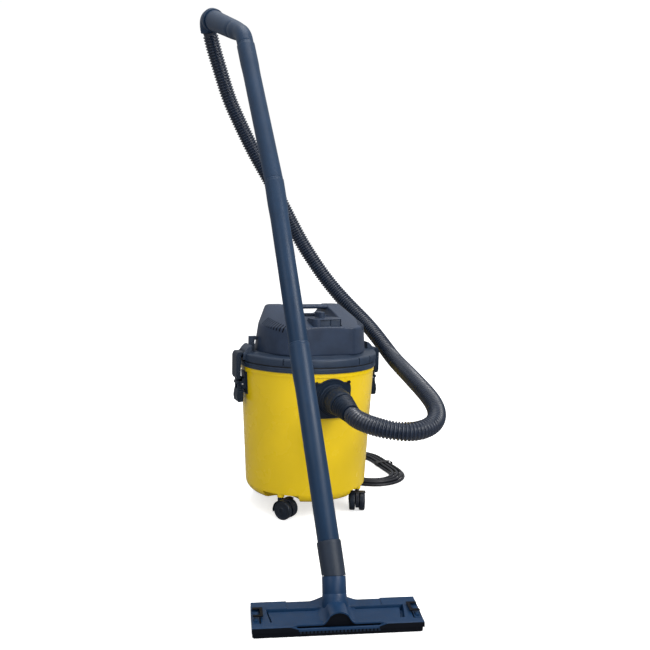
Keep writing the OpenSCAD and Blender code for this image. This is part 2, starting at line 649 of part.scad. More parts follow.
module wand_handle() color(slate) at_machine() difference() {
  union() {
    place(j0, top_u, side) translate([0, 0, -38]) cylinder(r = tube_r, h = 38.01 + 35 - bend_t);
    place(bend_at - top_u * bend_t + bend_in * bend_r, bend_n, -bend_in)
      rotate_extrude(angle = bend_a) translate([bend_r, 0]) circle(r = tube_r + 0.15);
    place(bend_at + grip_u * bend_t, grip_u, side) translate([0, 0, -0.2]) cylinder(r1 = tube_r + 0.4, r2 = 22, h = 30.2);
    place(bend_at + grip_u * (bend_t + 30), grip_u, side) cylinder(r1 = 22, r2 = 25, h = grip_l - bend_t - 30);
  }
  place(j0, top_u, side) translate([0, 0, -39]) cylinder(r = 16, h = 39.4 + 35 - bend_t);
  place(bend_at - top_u * bend_t + bend_in * bend_r, bend_n, -bend_in)
    rotate_extrude(angle = bend_a) translate([bend_r, 0]) circle(r = 15.7);
  place(bend_at + grip_u * bend_t, grip_u, side) translate([0, 0, -0.4]) cylinder(r = 16, h = grip_l);
}

// elbow cuff that the hose ends in
cuff_r = 32;
cuff_a = 97;
cuff_in = unit([0.3, 0.3, -0.9] - ([0.3, 0.3, -0.9] * grip_u) * grip_u);
cuff_n = cross(grip_u, cuff_in);
cuff_start = grip_end + grip_u * 20;

module hose_cuff() color(navy) at_machine() difference() {
  union() {
    place(grip_end, grip_u, side) { cylinder(r = 28, h = 16); translate([0, 0, 16]) cylinder(r1 = 28, r2 = 24, h = 4); }
    place(cuff_start + cuff_in * cuff_r, cuff_n, -cuff_in) rotate_extrude(angle = cuff_a) translate([cuff_r, 0]) circle(r = 23);
  }
  place(grip_end, grip_u, side) translate([0, 0, -1]) cylinder(r = 17.3, h = 21.4);
  place(cuff_start + cuff_in * cuff_r, cuff_n, -cuff_in) rotate_extrude(angle = cuff_a) translate([cuff_r, 0]) circle(r = 17);
}

tank();
rim_band();
inlet_flange();
inlet_screws();
inlet_seal();
inlet_deflector();
latch_brackets();
latch_pins();
hose_connector();
hose();
cord_run();
cord_coil();
cord_tail();
plug();
head_base();
head_seal();
head_cover();
carry_handle();
cover_screws();
switch_pod();
switch_body();
motor_stator();
motor_bracket_lower();
motor_bracket_upper();
motor_bearings();
motor_brushes();
motor_mount();
fan_shroud();
filter_cage();
filter_sleeve();
blower_port();
cord_gland();
switch_rocker();
motor_rotor();
impeller();
float_valve();
latch_lever_left();
latch_lever_right();
latch_hook_left();
latch_hook_right();
caster_front_left();
caster_front_right();
caster_rear_left();
caster_rear_right();
wheels_front_left();
wheels_front_right();
wheels_rear_left();
wheels_rear_right();
wand_handle();
hose_cuff();
wand_tube_upper();
wand_tube_middle();
wand_tube_lower();
wand_sleeve();
nozzle_neck();
nozzle_cover();
nozzle_sole();
nozzle_clips();
nozzle_strips();
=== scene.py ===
import math

import bmesh
import bpy
import numpy as np
from mathutils import Matrix, Vector


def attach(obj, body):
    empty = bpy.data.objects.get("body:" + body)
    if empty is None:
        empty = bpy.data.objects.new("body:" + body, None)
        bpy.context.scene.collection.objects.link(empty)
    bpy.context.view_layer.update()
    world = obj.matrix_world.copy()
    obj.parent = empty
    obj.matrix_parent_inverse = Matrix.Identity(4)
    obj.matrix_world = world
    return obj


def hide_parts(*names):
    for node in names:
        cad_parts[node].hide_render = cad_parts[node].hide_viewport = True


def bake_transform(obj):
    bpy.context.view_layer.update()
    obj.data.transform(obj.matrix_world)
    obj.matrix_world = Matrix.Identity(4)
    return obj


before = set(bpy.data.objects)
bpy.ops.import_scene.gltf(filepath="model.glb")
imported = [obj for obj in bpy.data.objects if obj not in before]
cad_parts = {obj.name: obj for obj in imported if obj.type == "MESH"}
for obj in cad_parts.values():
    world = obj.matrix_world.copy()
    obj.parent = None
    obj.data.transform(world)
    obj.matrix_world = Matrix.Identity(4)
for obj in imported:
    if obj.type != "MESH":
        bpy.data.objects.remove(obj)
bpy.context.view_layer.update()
scene = bpy.context.scene
O = np.array([66.4, 180.6, 0.0])  # the tank's axis in the row frame, mm


def M(p):
    return (np.asarray(p, float) + O) / 1000.0


def unit(v):
    v = np.asarray(v, float)
    return v / np.linalg.norm(v)


def tip(t, a):
    t, a = math.radians(t), math.radians(a)
    return np.array([math.sin(t) * math.sin(a), math.sin(t) * math.cos(a), math.cos(t)])


# ------------------------------------------------------------------ camera
A = math.radians(22.5)
phi, rho = 0.107, 0.023


def c2m(v):
    x, y, z = v
    return np.array([x * math.cos(A) + y * math.sin(A), -x * math.sin(A) + y * math.cos(A), z])


c_, s_ = math.cos(phi), math.sin(phi)
fwd, up, right = np.array([0, c_, -s_]), np.array([0, s_, c_]), np.array([1.0, 0, 0])
r2 = right * math.cos(rho) + up * math.sin(rho)
u2 = -right * math.sin(rho) + up * math.cos(rho)
cam_data = bpy.data.cameras.new("camera")
cam_data.lens, cam_data.sensor_width = 42.09, 36.0
cam_data.clip_start, cam_data.clip_end = 0.05, 100
cam = bpy.data.objects.new("camera", cam_data)
scene.collection.objects.link(cam)
R = Matrix([list(row) for row in np.array([c2m(r2), c2m(u2), -c2m(fwd)]).T])
cam.matrix_world = Matrix.Translation(Vector(M([-659.8, -1698.8, 629.0]))) @ R.to_4x4()
scene.camera = cam

# ------------------------------------------------------------------ mesh helpers


def finish_mesh(me, sharp=35, recalc=True, merge=0.0):
    bm = bmesh.new()
    bm.from_mesh(me)
    if merge:
        bmesh.ops.remove_doubles(bm, verts=bm.verts, dist=merge)
    if recalc:
        bmesh.ops.recalc_face_normals(bm, faces=bm.faces)
    bm.to_mesh(me)
    bm.free()
    me.shade_smooth()
    if sharp:
        me.set_sharp_from_angle(angle=math.radians(sharp))
    me.update()


def make(name, verts, faces, mat, sharp=35, merge=1e-6):
    me = bpy.data.meshes.new(name)
    me.from_pydata(M(verts).tolist(), [], faces)
    finish_mesh(me, sharp, True, merge)
    ob = bpy.data.objects.new(name, me)
    scene.collection.objects.link(ob)
    me.materials.append(mat)
    return ob


def grid(nu, nv, cu=False, cv=False, base=0):
    f = []
    for i in range(nu if cu else nu - 1):
        for j in range(nv if cv else nv - 1):
            i2, j2 = (i + 1) % nu, (j + 1) % nv
            f.append((base + i * nv + j, base + i2 * nv + j, base + i2 * nv + j2, base + i * nv + j2))
    return f


def axes(z, x=(1, 0, 0)):
    k = unit(z)
    x = np.asarray(x, float)
    i = unit(x - (x @ k) * k)
    return i, np.cross(k, i), k


def lathe_data(profile, o=(0, 0, 0), z=(0, 0, 1), x=(1, 0, 0), seg=96, closed=False, base=0):
    """profile is a list of (radius, height) in mm."""
    i, j, k = axes(z, x)
    a = np.linspace(0, 2 * math.pi, seg, endpoint=False)
    ring = np.cos(a)[:, None] * i + np.sin(a)[:, None] * j
    v = [np.asarray(o, float) + h * k + r * ring for r, h in profile]
    n = len(profile)
    return np.concatenate(v), grid(n, seg, closed, True, base)


def lathe(name, profile, mat, o=(0, 0, 0), z=(0, 0, 1), x=(1, 0, 0), seg=96, closed=False, sharp=35):
    v, f = lathe_data(profile, o, z, x, seg, closed)
    return make(name, v, f, mat, sharp)


def many(name, parts, mat, sharp=35):
    vs, fs, n = [], [], 0
    for v, f in parts:
        vs.append(np.asarray(v, float))
        fs += [tuple(q + n for q in face) for face in f]
        n += len(v)
    return make(name, np.concatenate(vs), fs, mat, sharp)


def sweep_data(p, r, sides, ref=None, cap=True):
    p = np.asarray(p, float)
    n = len(p)
    r = np.broadcast_to(r, (n,))
    t = np.gradient(p, axis=0)
    t /= np.linalg.norm(t, axis=1)[:, None]
    a = np.zeros_like(p)
    ref = np.array([1, 0.5, 0.8]) if ref is None else np.asarray(ref, float)
    a[0] = unit(np.cross(t[0], ref))
    for k in range(1, n):
        q = a[k - 1] - (a[k - 1] @ t[k]) * t[k]
        a[k] = q / np.linalg.norm(q)
    b = np.cross(t, a)
    ang = np.linspace(0, 2 * math.pi, sides, endpoint=False)
    v = (p[:, None, :] + r[:, None, None] * (np.cos(ang)[None, :, None] * a[:, None, :] + np.sin(ang)[None, :, None] * b[:, None, :])).reshape(-1, 3)
    f = grid(n, sides, False, True)
    if cap:
        f.append(tuple(range(sides))[::-1])
        f.append(tuple((n - 1) * sides + s for s in range(sides)))
    return v, f


def box_data(lo, hi):
    (x0, y0, z0), (x1, y1, z1) = lo, hi
    v = [(x, y, z) for x in (x0, x1) for y in (y0, y1) for z in (z0, z1)]
    f = [(0, 1, 3, 2), (4, 6, 7, 5), (0, 4, 5, 1), (2, 3, 7, 6), (0, 2, 6, 4), (1, 5, 7, 3)]
    return np.array(v, float), f


def prism_data(poly, z0, z1):
    n = len(poly)
    v = [(x, y, z0) for x, y in poly] + [(x, y, z1) for x, y in poly]
    f = [tuple(range(n))[::-1], tuple(range(n, 2 * n))] + [(i, (i + 1) % n, n + (i + 1) % n, n + i) for i in range(n)]
    return np.array(v, float), f


def wedge(poly, y0, y1):
    """A block with this outline in X and Z, from y0 to y1."""
    n_ = len(poly)
    vv = [(x, y0, z) for x, z in poly] + [(x, y1, z) for x, z in poly]
    ff = [tuple(range(n_)), tuple(range(n_, 2 * n_))[::-1]] + [(i, n_ + i, n_ + (i + 1) % n_, (i + 1) % n_) for i in range(n_)]
    return np.array(vv, float), ff


def round_rect(w, h, r, n=8):
    out = []
    for cx, cy, a0 in ((w / 2 - r, h / 2 - r, 0), (-w / 2 + r, h / 2 - r, 90), (-w / 2 + r, -h / 2 + r, 180), (w / 2 - r, -h / 2 + r, 270)):
        for q in range(n + 1):
            t = math.radians(a0 + 90 * q / n)
            out.append((cx + r * math.cos(t), cy + r * math.sin(t)))
    return out


def applied(ob):
    """Bakes an object's modifiers into its mesh."""
    dg = bpy.context.evaluated_depsgraph_get()
    me = bpy.data.meshes.new_from_object(ob.evaluated_get(dg))
    mats = [m for m in ob.data.materials]
    ob.modifiers.clear()
    ob.data = me
    me.materials.clear()
    for m in mats:
        me.materials.append(m)
    return ob


def soften(ob, voxel, rounds, factor=0.5, sharp=0):
    m = ob.modifiers.new("r", "REMESH")
    m.mode, m.voxel_size, m.use_smooth_shade = "VOXEL", voxel / 1000.0, True
    if rounds:
        s = ob.modifiers.new("s", "SMOOTH")
        s.factor, s.iterations = factor, rounds
    applied(ob)
    finish_mesh(ob.data, sharp, False)
    return ob


def moulded(node, mat, voxel, rounds, name=None):
    """A copy of a CAD solid whose edges are rounded as a moulded part's are."""
    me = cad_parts[node].data.copy()
    ob = bpy.data.objects.new(name or node + ".moulded", me)
    scene.collection.objects.link(ob)
    me.materials.clear()
    me.materials.append(mat)
    bm = bmesh.new()
    bm.from_mesh(me)
    bmesh.ops.remove_doubles(bm, verts=bm.verts, dist=1e-6)
    bm.to_mesh(me)
    bm.free()
    soften(ob, voxel, rounds)
    return ob


def put(ob, body, slot, *nodes):
    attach(ob, body)
    if nodes:
        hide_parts(*nodes)
    return ob


def cut(ob, cutters, solver="EXACT"):
    for c in cutters:
        m = ob.modifiers.new("cut", "BOOLEAN")
        m.operation, m.object, m.solver = "DIFFERENCE", c, solver
    applied(ob)
    for c in cutters:
        bpy.data.objects.remove(c)
    return ob


# ------------------------------------------------------------------ materials


def plastic(name, col, rough=0.42, var=0.10, cells=45.0, grain=0.25, grain_scale=1400.0, coat=0.0, spec=0.5, dust=0.0, wave=0.0):
    m = bpy.data.materials.new(name)
    m.use_nodes = True
    nt = m.node_tree
    nt.nodes.clear()
    N, L = nt.nodes.new, nt.links.new
    out = N("ShaderNodeOutputMaterial")
    bs = N("ShaderNodeBsdfPrincipled")
    L(bs.outputs[0], out.inputs[0])
    tc = N("ShaderNodeTexCoord")
    n1 = N("ShaderNodeTexNoise")
    n1.inputs["Scale"].default_value = cells
    n1.inputs["Detail"].default_value = 5
    L(tc.outputs["Object"], n1.inputs["Vector"])
    ramp = N("ShaderNodeValToRGB")
    lo = [c * (1 - var) for c in col]
    hi = [min(1, c * (1 + var)) for c in col]
    ramp.color_ramp.elements[0].position, ramp.color_ramp.elements[1].position = 0.35, 0.68
    ramp.color_ramp.elements[0].color = (*lo, 1)
    ramp.color_ramp.elements[1].color = (*hi, 1)
    L(n1.outputs["Fac"], ramp.inputs["Fac"])
    colour = ramp.outputs["Color"]
    if dust:
        n3 = N("ShaderNodeTexNoise")
        n3.inputs["Scale"].default_value = 9
        n3.inputs["Detail"].default_value = 8
        n3.inputs["Roughness"].default_value = 0.72
        L(tc.outputs["Object"], n3.inputs["Vector"])
        mr = N("ShaderNodeMapRange")
        mr.inputs["From Min"].default_value, mr.inputs["From Max"].default_value = 0.5, 0.8
        mr.inputs["To Min"].default_value, mr.inputs["To Max"].default_value = 0.0, dust
        L(n3.outputs["Fac"], mr.inputs["Value"])
        mx = N("ShaderNodeMix")
        mx.data_type = "RGBA"
        L(mr.outputs["Result"], mx.inputs["Factor"])
        L(colour, mx.inputs[6])
        mx.inputs[7].default_value = (0.30, 0.31, 0.33, 1)
        colour = mx.outputs[2]
    L(colour, bs.inputs["Base Color"])
    rr = N("ShaderNodeMapRange")
    rr.inputs["To Min"].default_value, rr.inputs["To Max"].default_value = rough - 0.06, rough + 0.08
    L(n1.outputs["Fac"], rr.inputs["Value"])
    L(rr.outputs["Result"], bs.inputs["Roughness"])
    n2 = N("ShaderNodeTexNoise")
    n2.inputs["Scale"].default_value = grain_scale
    n2.inputs["Detail"].default_value = 3
    L(tc.outputs["Object"], n2.inputs["Vector"])
    bp = N("ShaderNodeBump")
    bp.inputs["Strength"].default_value = grain
    bp.inputs["Distance"].default_value = 0.00025
    L(n2.outputs["Fac"], bp.inputs["Height"])
    if wave:
        n4 = N("ShaderNodeTexNoise")
        n4.inputs["Scale"].default_value = 7
        n4.inputs["Detail"].default_value = 1
        L(tc.outputs["Object"], n4.inputs["Vector"])
        b2 = N("ShaderNodeBump")
        b2.inputs["Strength"].default_value = wave
        b2.inputs["Distance"].default_value = 0.004
        L(n4.outputs["Fac"], b2.inputs["Height"])
        L(b2.outputs["Normal"], bp.inputs["Normal"])
    L(bp.outputs["Normal"], bs.inputs["Normal"])
    bs.inputs["Specular IOR Level"].default_value = spec
    bs.inputs["Coat Weight"].default_value = coat
    bs.inputs["Coat Roughness"].default_value = 0.10
    return m


def metal(name, col, rough=0.32, brushed=(1, 1, 60)):
    m = plastic(name, col, rough, 0.08, 60, 0.15, 900)
    nt = m.node_tree
    bs = next(n for n in nt.nodes if n.type == "BSDF_PRINCIPLED")
    bs.inputs["Metallic"].default_value = 1.0
    return m


def foam(name, col):
    m = plastic(name, col, 0.9, 0.3, 300, 1.0, 700, spec=0.2)
    return m


YELLOW = plastic("tank_yellow", (0.87, 0.60, 0.008), 0.26, 0.03, 12, 0.08, 900, coat=0.12, spec=0.35, wave=0.10)
SLATE = plastic("head_slate", (0.020, 0.034, 0.066), 0.36, 0.14, 30, 0.45, 1500, spec=0.30, dust=0.02)
SLATE2 = plastic("head_slate_dark", (0.022, 0.036, 0.064), 0.38, 0.14, 30, 0.45, 1500, spec=0.30, dust=0.02)
WAND = plastic("wand_blue_grey", (0.005, 0.026, 0.066), 0.40, 0.08, 25, 0.18, 1300, spec=0.32, dust=0.0)
NOZ = plastic("nozzle_blue_grey", (0.005, 0.027, 0.074), 0.36, 0.08, 35, 0.35, 1500, spec=0.26, dust=0.0)
NAVY = plastic("trim_navy", (0.006, 0.014, 0.030), 0.40, 0.14, 35, 0.45, 1500, spec=0.22, dust=0.01)
HOSE = plastic("hose_navy", (0.005, 0.013, 0.032), 0.27, 0.12, 60, 0.10, 1200, spec=0.65)
CORD = plastic("cord_black", (0.006, 0.007, 0.012), 0.34, 0.15, 50, 0.30, 1600, spec=0.35)
RUBBER = plastic("rubber_black", (0.012, 0.012, 0.013), 0.62, 0.20, 60, 0.50, 1200)
SHADE = plastic("shadow_black", (0.002, 0.003, 0.006), 0.5, 0.1, 50, 0.2, 1500, spec=0.10)
BLACK = plastic("plastic_black", (0.007, 0.010, 0.018), 0.34, 0.15, 50, 0.35, 1500, spec=0.30)
WHEEL = plastic("wheel_black", (0.007, 0.012, 0.022), 0.30, 0.15, 50, 0.20, 1500, spec=0.30, dust=0.03)
SCREW = metal("black_zinc", (0.025, 0.026, 0.030), 0.42)
SLEEVE = plastic("sleeve_grey", (0.008, 0.016, 0.032), 0.46, 0.10, 35, 0.40, 1500, spec=0.35, dust=0.02)
STEEL = metal("zinc_steel", (0.46, 0.46, 0.48), 0.30)
MOTOR = metal("motor_steel", (0.40, 0.40, 0.42), 0.38)
COPPER = metal("winding_copper", (0.55, 0.22, 0.08), 0.34)
FAN = metal("fan_aluminium", (0.62, 0.62, 0.64), 0.28)
FOAM = foam("filter_foam", (0.030, 0.030, 0.033))
WHITE = plastic("float_white", (0.70, 0.70, 0.67), 0.4, 0.05, 40, 0.2, 1200)
BRISTLE = plastic("bristle_black", (0.014, 0.014, 0.016), 0.7, 0.3, 400, 1.0, 900)

node_mats = {
    "tank": YELLOW, "rim_band": SLATE2, "inlet_flange": NAVY, "inlet_screws": SCREW, "inlet_seal": RUBBER,
    "inlet_deflector": NAVY, "latch_brackets": NAVY, "latch_pins": STEEL, "hose_connector": NAVY, "plug": BLACK,
    "head_base": SLATE2, "head_seal": RUBBER, "head_cover": SLATE, "carry_handle": SLATE, "cover_screws": STEEL,
    "switch_pod": SLATE, "switch_body": BLACK, "motor_stator": COPPER, "motor_bracket_lower": MOTOR,
    "motor_bracket_upper": MOTOR, "motor_bearings": STEEL, "motor_brushes": BLACK, "motor_mount": RUBBER,
    "fan_shroud": MOTOR, "filter_cage": BLACK, "filter_sleeve": FOAM, "blower_port": SLATE, "cord_gland": RUBBER,
    "switch_rocker": BLACK, "motor_rotor": MOTOR, "impeller": FAN, "float_valve": WHITE,
    "latch_lever_left": NAVY, "latch_lever_right": NAVY, "latch_hook_left": NAVY, "latch_hook_right": NAVY,
    "wand_handle": WAND, "hose_cuff": WAND, "wand_tube_upper": WAND, "wand_tube_middle": WAND,
    "wand_tube_lower": WAND, "wand_sleeve": SLEEVE, "nozzle_neck": NOZ, "nozzle_cover": NOZ, "nozzle_sole": NAVY,
    "nozzle_clips": SHADE, "nozzle_strips": BRISTLE, "hose": HOSE, "cord_run": CORD, "cord_coil": CORD,
    "cord_tail": CORD,
}
for side in ("front_left", "front_right", "rear_left", "rear_right"):
    node_mats["caster_" + side] = BLACK
    node_mats["wheels_" + side] = WHEEL
for name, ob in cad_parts.items():
    me = ob.data
    me.materials.clear()
    me.materials.append(node_mats[name])
    me.shade_smooth()
    me.set_sharp_from_angle(angle=math.radians(30))

# ------------------------------------------------------------------ hose
HOSE_R = 20.0
hose_route = [
    (0, -262.6, 270.3), (0, -285, 265.5), (17, -322, 259), (50, -357, 253), (93, -372, 251), (137, -363, 257),
    (172, -330, 268), (190, -285, 285), (197, -230, 301), (201, -165, 319), (212, -100, 330), (226, -40, 336),
    (238, 15, 344), (236, 55, 365), (228, 95, 393), (218, 137, 420), (204, 170, 443), (176, 210, 483),
    (145, 240, 528), (112, 265, 582), (81, 285, 637), (44, 300, 712), (1, 315, 798), (-32, 320, 850),
    (-60, 325, 902), (-87, 325, 953), (-114, 320, 1002), (-134, 311, 1051), (-152, 303, 1096),
    (-167.2, 293.4, 1132.6), (-176.3, 285.1, 1160),
]


def curve(p, per):
    p = np.asarray(p, float)
    q = np.concatenate([[2 * p[0] - p[1]], p, [2 * p[-1] - p[-2]]])
    n = len(p) - 1
    out = []
    for k in range(n * per + 1):
        i = min(k // per, n - 1)
        t = k / per - i
        out.append(((1 - t) ** 3 * q[i] + (3 * t**3 - 6 * t * t + 4) * q[i + 1] + (-3 * t**3 + 3 * t * t + 3 * t + 1) * q[i + 2] + t**3 * q[i + 3]) / 6)
    return np.array(out)


def resample(p, step):
    d = np.concatenate([[0], np.cumsum(np.linalg.norm(np.diff(p, axis=0), axis=1))])
    n = max(2, int(round(d[-1] / step)) + 1)
    s = np.linspace(0, d[-1], n)
    return np.stack([np.interp(s, d, p[:, k]) for k in range(3)], 1), s


hose_line = curve(hose_route, 40)
pitch = 7.0
hp, hs = resample(hose_line, pitch / 8)
hose_len = hs[-1]
n_rib = round((hose_len - 14) / pitch)
phase = (hs - 7) / (hose_len - 14) * n_rib
ph = phase - np.floor(phase)
wave = 0.5 - 0.5 * np.cos(2 * math.pi * ph)
rib = np.clip(1.25 * wave - 0.12, 0, 1) ** 0.75
end = np.clip(np.minimum(hs, hose_len - hs) / 7.0, 0, 1)
hr = 16.6 + (HOSE_R - 0.05 - 16.6) * np.where(end < 1, 0.35 * (1 - end), rib)
v, f = sweep_data(hp, hr, 40)
hose = make("hose.corrugated", v, f, HOSE, sharp=0)
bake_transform(hose)
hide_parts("hose")

# ------------------------------------------------------------------ power cord and its coil
CORD_R = 3.75
cord_route = [
    (89, 127, 400), (96, 137, 399), (105, 150, 392), (113, 161, 370), (118, 168, 330), (121, 172, 280),
    (122, 174, 220), (123, 174, 160), (125, 172, 110), (130, 166, 65), (138, 158, 38), (147, 156, 24),
]
cx, cy, mean, half = 236.0, 185.0, 78.0, 60.0


def stadium_point(u, r):
    """A point on a stadium of radius r, u from 0 to 1, clockwise from the middle of its left side."""
    per = 2 * math.pi * r + 4 * half
    s = (u % 1.0) * per
    legs = [half, math.pi * r, 2 * half, math.pi * r, half]
    if s < legs[0]:
        return cx - r, cy + s
    s -= legs[0]
    if s < legs[1]:
        a = s / r
        return cx - r * math.cos(a), cy + half + r * math.sin(a)
    s -= legs[1]
    if s < legs[2]:
        return cx + r, cy + half - s
    s -= legs[2]
    if s < legs[3]:
        a = s / r
        return cx + r * math.cos(a), cy - half - r * math.sin(a)
    s -= legs[3]
    return cx - r, cy - half + s


# (offset from the mean radius, height) of each turn, in the order that the cord runs
turns = [(12, 9.5), (0, 9.5), (-12, 9.5), (-18, 3.85), (-6, 3.85), (6, 3.85), (18, 3.85)]
coil = []
per_turn = 44
for k, (off, z) in enumerate(turns):
    nxt = turns[k + 1] if k + 1 < len(turns) else (off, z)
    for q in range(per_turn):
        u = q / per_turn
        g = np.clip((u - 0.84) / 0.16, 0, 1)
        w = g * g * (3 - 2 * g)
        wob = 1.5 * math.sin(2 * math.pi * u * 3 + 0.6) + 0.4 * math.sin(2 * math.pi * u * 4 + 1.3 * k)
        # where an upper turn changes place it passes over the lower ones in a low hump
        hump = (2.6, 2.6, 4.0, 0, 0, 0, 0)[k] * math.sin(math.pi * g)
        x, y = stadium_point(u + 0.03, mean + off + (nxt[0] - off) * w + wob)
        coil.append((x, y, z + (nxt[1] - z) * w + hump))
lead = curve(cord_route[:-2] + [(136, 161, 40), (141, 165, 25), (144.5, 176, 15), (coil[0][0], coil[0][1] - 8, 9.9)], 10)
tail = [(139.6, 222, 3.85), (138.6, 245, 3.85), (136, 262, 4.0), (134.6, 274, 4.6), (135.2, 284, 5.6), (139, 292, 8.0), (144, 297.5, 9.8), (145, 301.6, 10)]
cord_line = np.concatenate([lead, np.array(coil), np.array(tail)])
cord_line, _ = resample(cord_line, 5.0)
for _ in range(5):  # evens out the joins
    cord_line[2:-2] = 0.25 * cord_line[1:-3] + 0.5 * cord_line[2:-2] + 0.25 * cord_line[3:-1]
cord_line[:, 2] = np.maximum(cord_line[:, 2], CORD_R + 0.05)
cord_line, cord_s = resample(cord_line, 5.5)
v, f = sweep_data(cord_line, CORD_R, 14, ref=(1, -0.8, 0.3))
cord = make("power_cord", v, f, CORD, sharp=0)
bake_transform(cord)
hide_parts("cord_run", "cord_coil", "cord_tail")

# plug: a moulded body with a waist, finger ribs and two round pins
po, pz = np.array([145.0, 302.0, 10.0]), (0, 1, 0)
parts = [lathe_data([(0, 0.2), (5.2, 0.2), (5.8, 0.8), (6.0, 3), (5.2, 4), (5.2, 5), (6.6, 6), (6.6, 7.4), (5.6, 8.4), (5.8, 9.4), (7.4, 10.4), (7.6, 12), (7.0, 13), (9.5, 15.5), (12.4, 20), (13.6, 26), (13.8, 33), (13.4, 38), (13.6, 41), (12.8, 43.4), (11.8, 44), (0, 44)], po + np.array([0, 0, 3.9]), pz, (1, 0, 0), 48)]
plug = many("plug.body", parts, BLACK, 40)
for i in range(len(plug.data.vertices)):
    co = plug.data.vertices[i].co
    x, z = co.x * 1000 - O[0] - 145.0, co.z * 1000 - 14.0
    # flattened like a moulded plug
    y = co.y * 1000 - O[1] - 302.0
    k = 1 - 0.26 * np.clip((y - 14) / 10, 0, 1)
    co.z = (14.0 + z * k - (1 - k) * 0.0) / 1000
pins = many("plug.pins", [lathe_data([(0, 43.5), (2.4, 43.5), (2.4, 52), (2.4, 60.5), (1.9, 61.7), (0, 61.9)], po + np.array([dx, 0, 3.9]), pz, (1, 0, 0), 24) for dx in (-9.5, 9.5)], STEEL, 40)
put(plug, "machine", "black_plastic", "plug")
put(pins, "machine", "steel")

# hook-and-loop tie round the coil's far side
tx, ty = cx + mean, cy + 6
loop = []
for q in range(40):
    a = 2 * math.pi * q / 40
    ca, sa = math.cos(a), math.sin(a)
    loop.append((abs(ca) ** 0.5 * (1 if ca >= 0 else -1) * 25.5, abs(sa) ** 0.6 * (1 if sa >= 0 else -1) * 6.9 + 7.3))
tv = []
for yy, d in ((-7, -0.7), (-7, 0), (7, 0), (7, -0.7)):
    for x, z in loop:
        n = unit((x, (z - 7.3) * 3.4))
        tv.append((tx + x + n[0] * d, ty + yy, max(0.25, z + n[1] * d)))
tie = make("coil_tie", tv, grid(4, 40, True, True), RUBBER, 60)
put(tie, "machine", "black_rubber")

# ------------------------------------------------------------------ tank
TR, TT, TF, SL, FIL = 160.0, 340.0, 36.0, 0.0519, 25.0


def wall_r(z):
    return TR - (TT - z) * SL


# moulded details of the inlet's surround, plate and boss
def polar_plate(name, mat, zc, outline, r_in, rings, thick):
    """A plate that follows the tank's wall, from a round hole out to an outline given by angle."""
    n = 144
    v = []
    for s in rings:
        for q in range(n):
            a = 2 * math.pi * q / n
            ro = outline(a)
            r = r_in + (ro - r_in) * min(s, 1.0)
            x, z = r * math.cos(a), zc + r * math.sin(a)
            t = thick(s, r, a)
            rr = wall_r(z) + t
            v.append((x, -math.sqrt(max(rr * rr - x * x, 1)), z))
    return make(name, v, grid(len(rings), n, False, True), mat, 50)


def flange_outline(a):
    ca, sa = math.cos(a), math.sin(a)
    w, hb, ht = 47.0, 45.0, 37.0
    p = 7.0
    h = ht if sa > 0 else hb
    base = 1.0 / ((abs(ca) / w) ** p + (abs(sa) / h) ** p) ** (1 / p)
    arch = 46.0 * (1 if sa > 0 else 0)
    blend = np.clip((sa - 0.55) / 0.25, 0, 1)
    blend = blend * blend * (3 - 2 * blend)
    return base + (max(base, arch) - base) * blend


rings = [0.0, 0.15, 0.3, 0.42, 0.5, 0.58, 0.66, 0.74, 0.82, 0.88, 0.92, 0.95, 0.975, 0.99, 1.0, 1.0]
edge = [4.6] * 9 + [5.4, 5.6, 5.4, 4.8, 3.8, 2.4, -0.2]


def flange_thick(s, r, a):
    k = rings_index["i"]
    return edge[k]


flange_v = []
n = 144
for k, s in enumerate(rings):
    for q in range(n):
        a = 2 * math.pi * q / n
        ro = flange_outline(a)
        r = 24.5 + (ro - 24.5) * s
        x, z = r * math.cos(a), 283 + r * math.sin(a)
        rr = wall_r(z) + edge[k]
        flange_v.append((x, -math.sqrt(rr * rr - x * x), z))
boss = lathe_data([(24.4, 150), (36.5, 150), (37.0, 161.2), (35.4, 163.0), (34.9, 166), (34.9, 168.6), (34.2, 170), (31.6, 170.4), (31.2, 171.2), (31.0, 179.4), (30.2, 180.6), (24.4, 181)],
                  (0, 0, 283), (0, -1, 0), (1, 0, 0), 96)
flange = many("inlet_flange.moulded", [(flange_v, grid(len(rings), n, False, True)), boss], NAVY, 40)
put(flange, "machine", "dark_trim", "inlet_flange")

# connector: a gripped collar, then a cone that turns down into the hose
tilt = math.radians(12)
cd = np.array([0, -math.cos(tilt), -math.sin(tilt)])
p0, p1 = np.array([0, -182.0, 283.0]), np.array([0, -203.0, 283.0])
cpts = [p0, p0 + (0, -6, 0), p0 + (0, -12, 0), p0 + (0, -16, 0), p0 + (0, -18.5, 0), p1 + cd * 2, p1 + cd * 6, p1 + cd * 12, p1 + cd * 14]
crad = [29.6, 30.0, 30.0, 29.6, 28.6, 28.0, 28.0, 27.8, 26.6]
for q in range(49):
    s_ = 14.6 + q * 0.9
    k_ = (1 - math.cos(2 * math.pi * (s_ - 14.6) / 7.2)) / 2
    crad.append(min(27.2 - 0.15 * (s_ - 14.6), 26.2) - 3.0 * (1 - min(1, 1.25 * k_) ** 0.8))
    cpts.append(p1 + cd * s_)
cpts += [p1 + cd * 58.6, p1 + cd * 59.8]
crad += [20.6, 20.4]
v1 = sweep_data(cpts, np.array(crad), 72, ref=(1, 0, 0.01))
grip = []
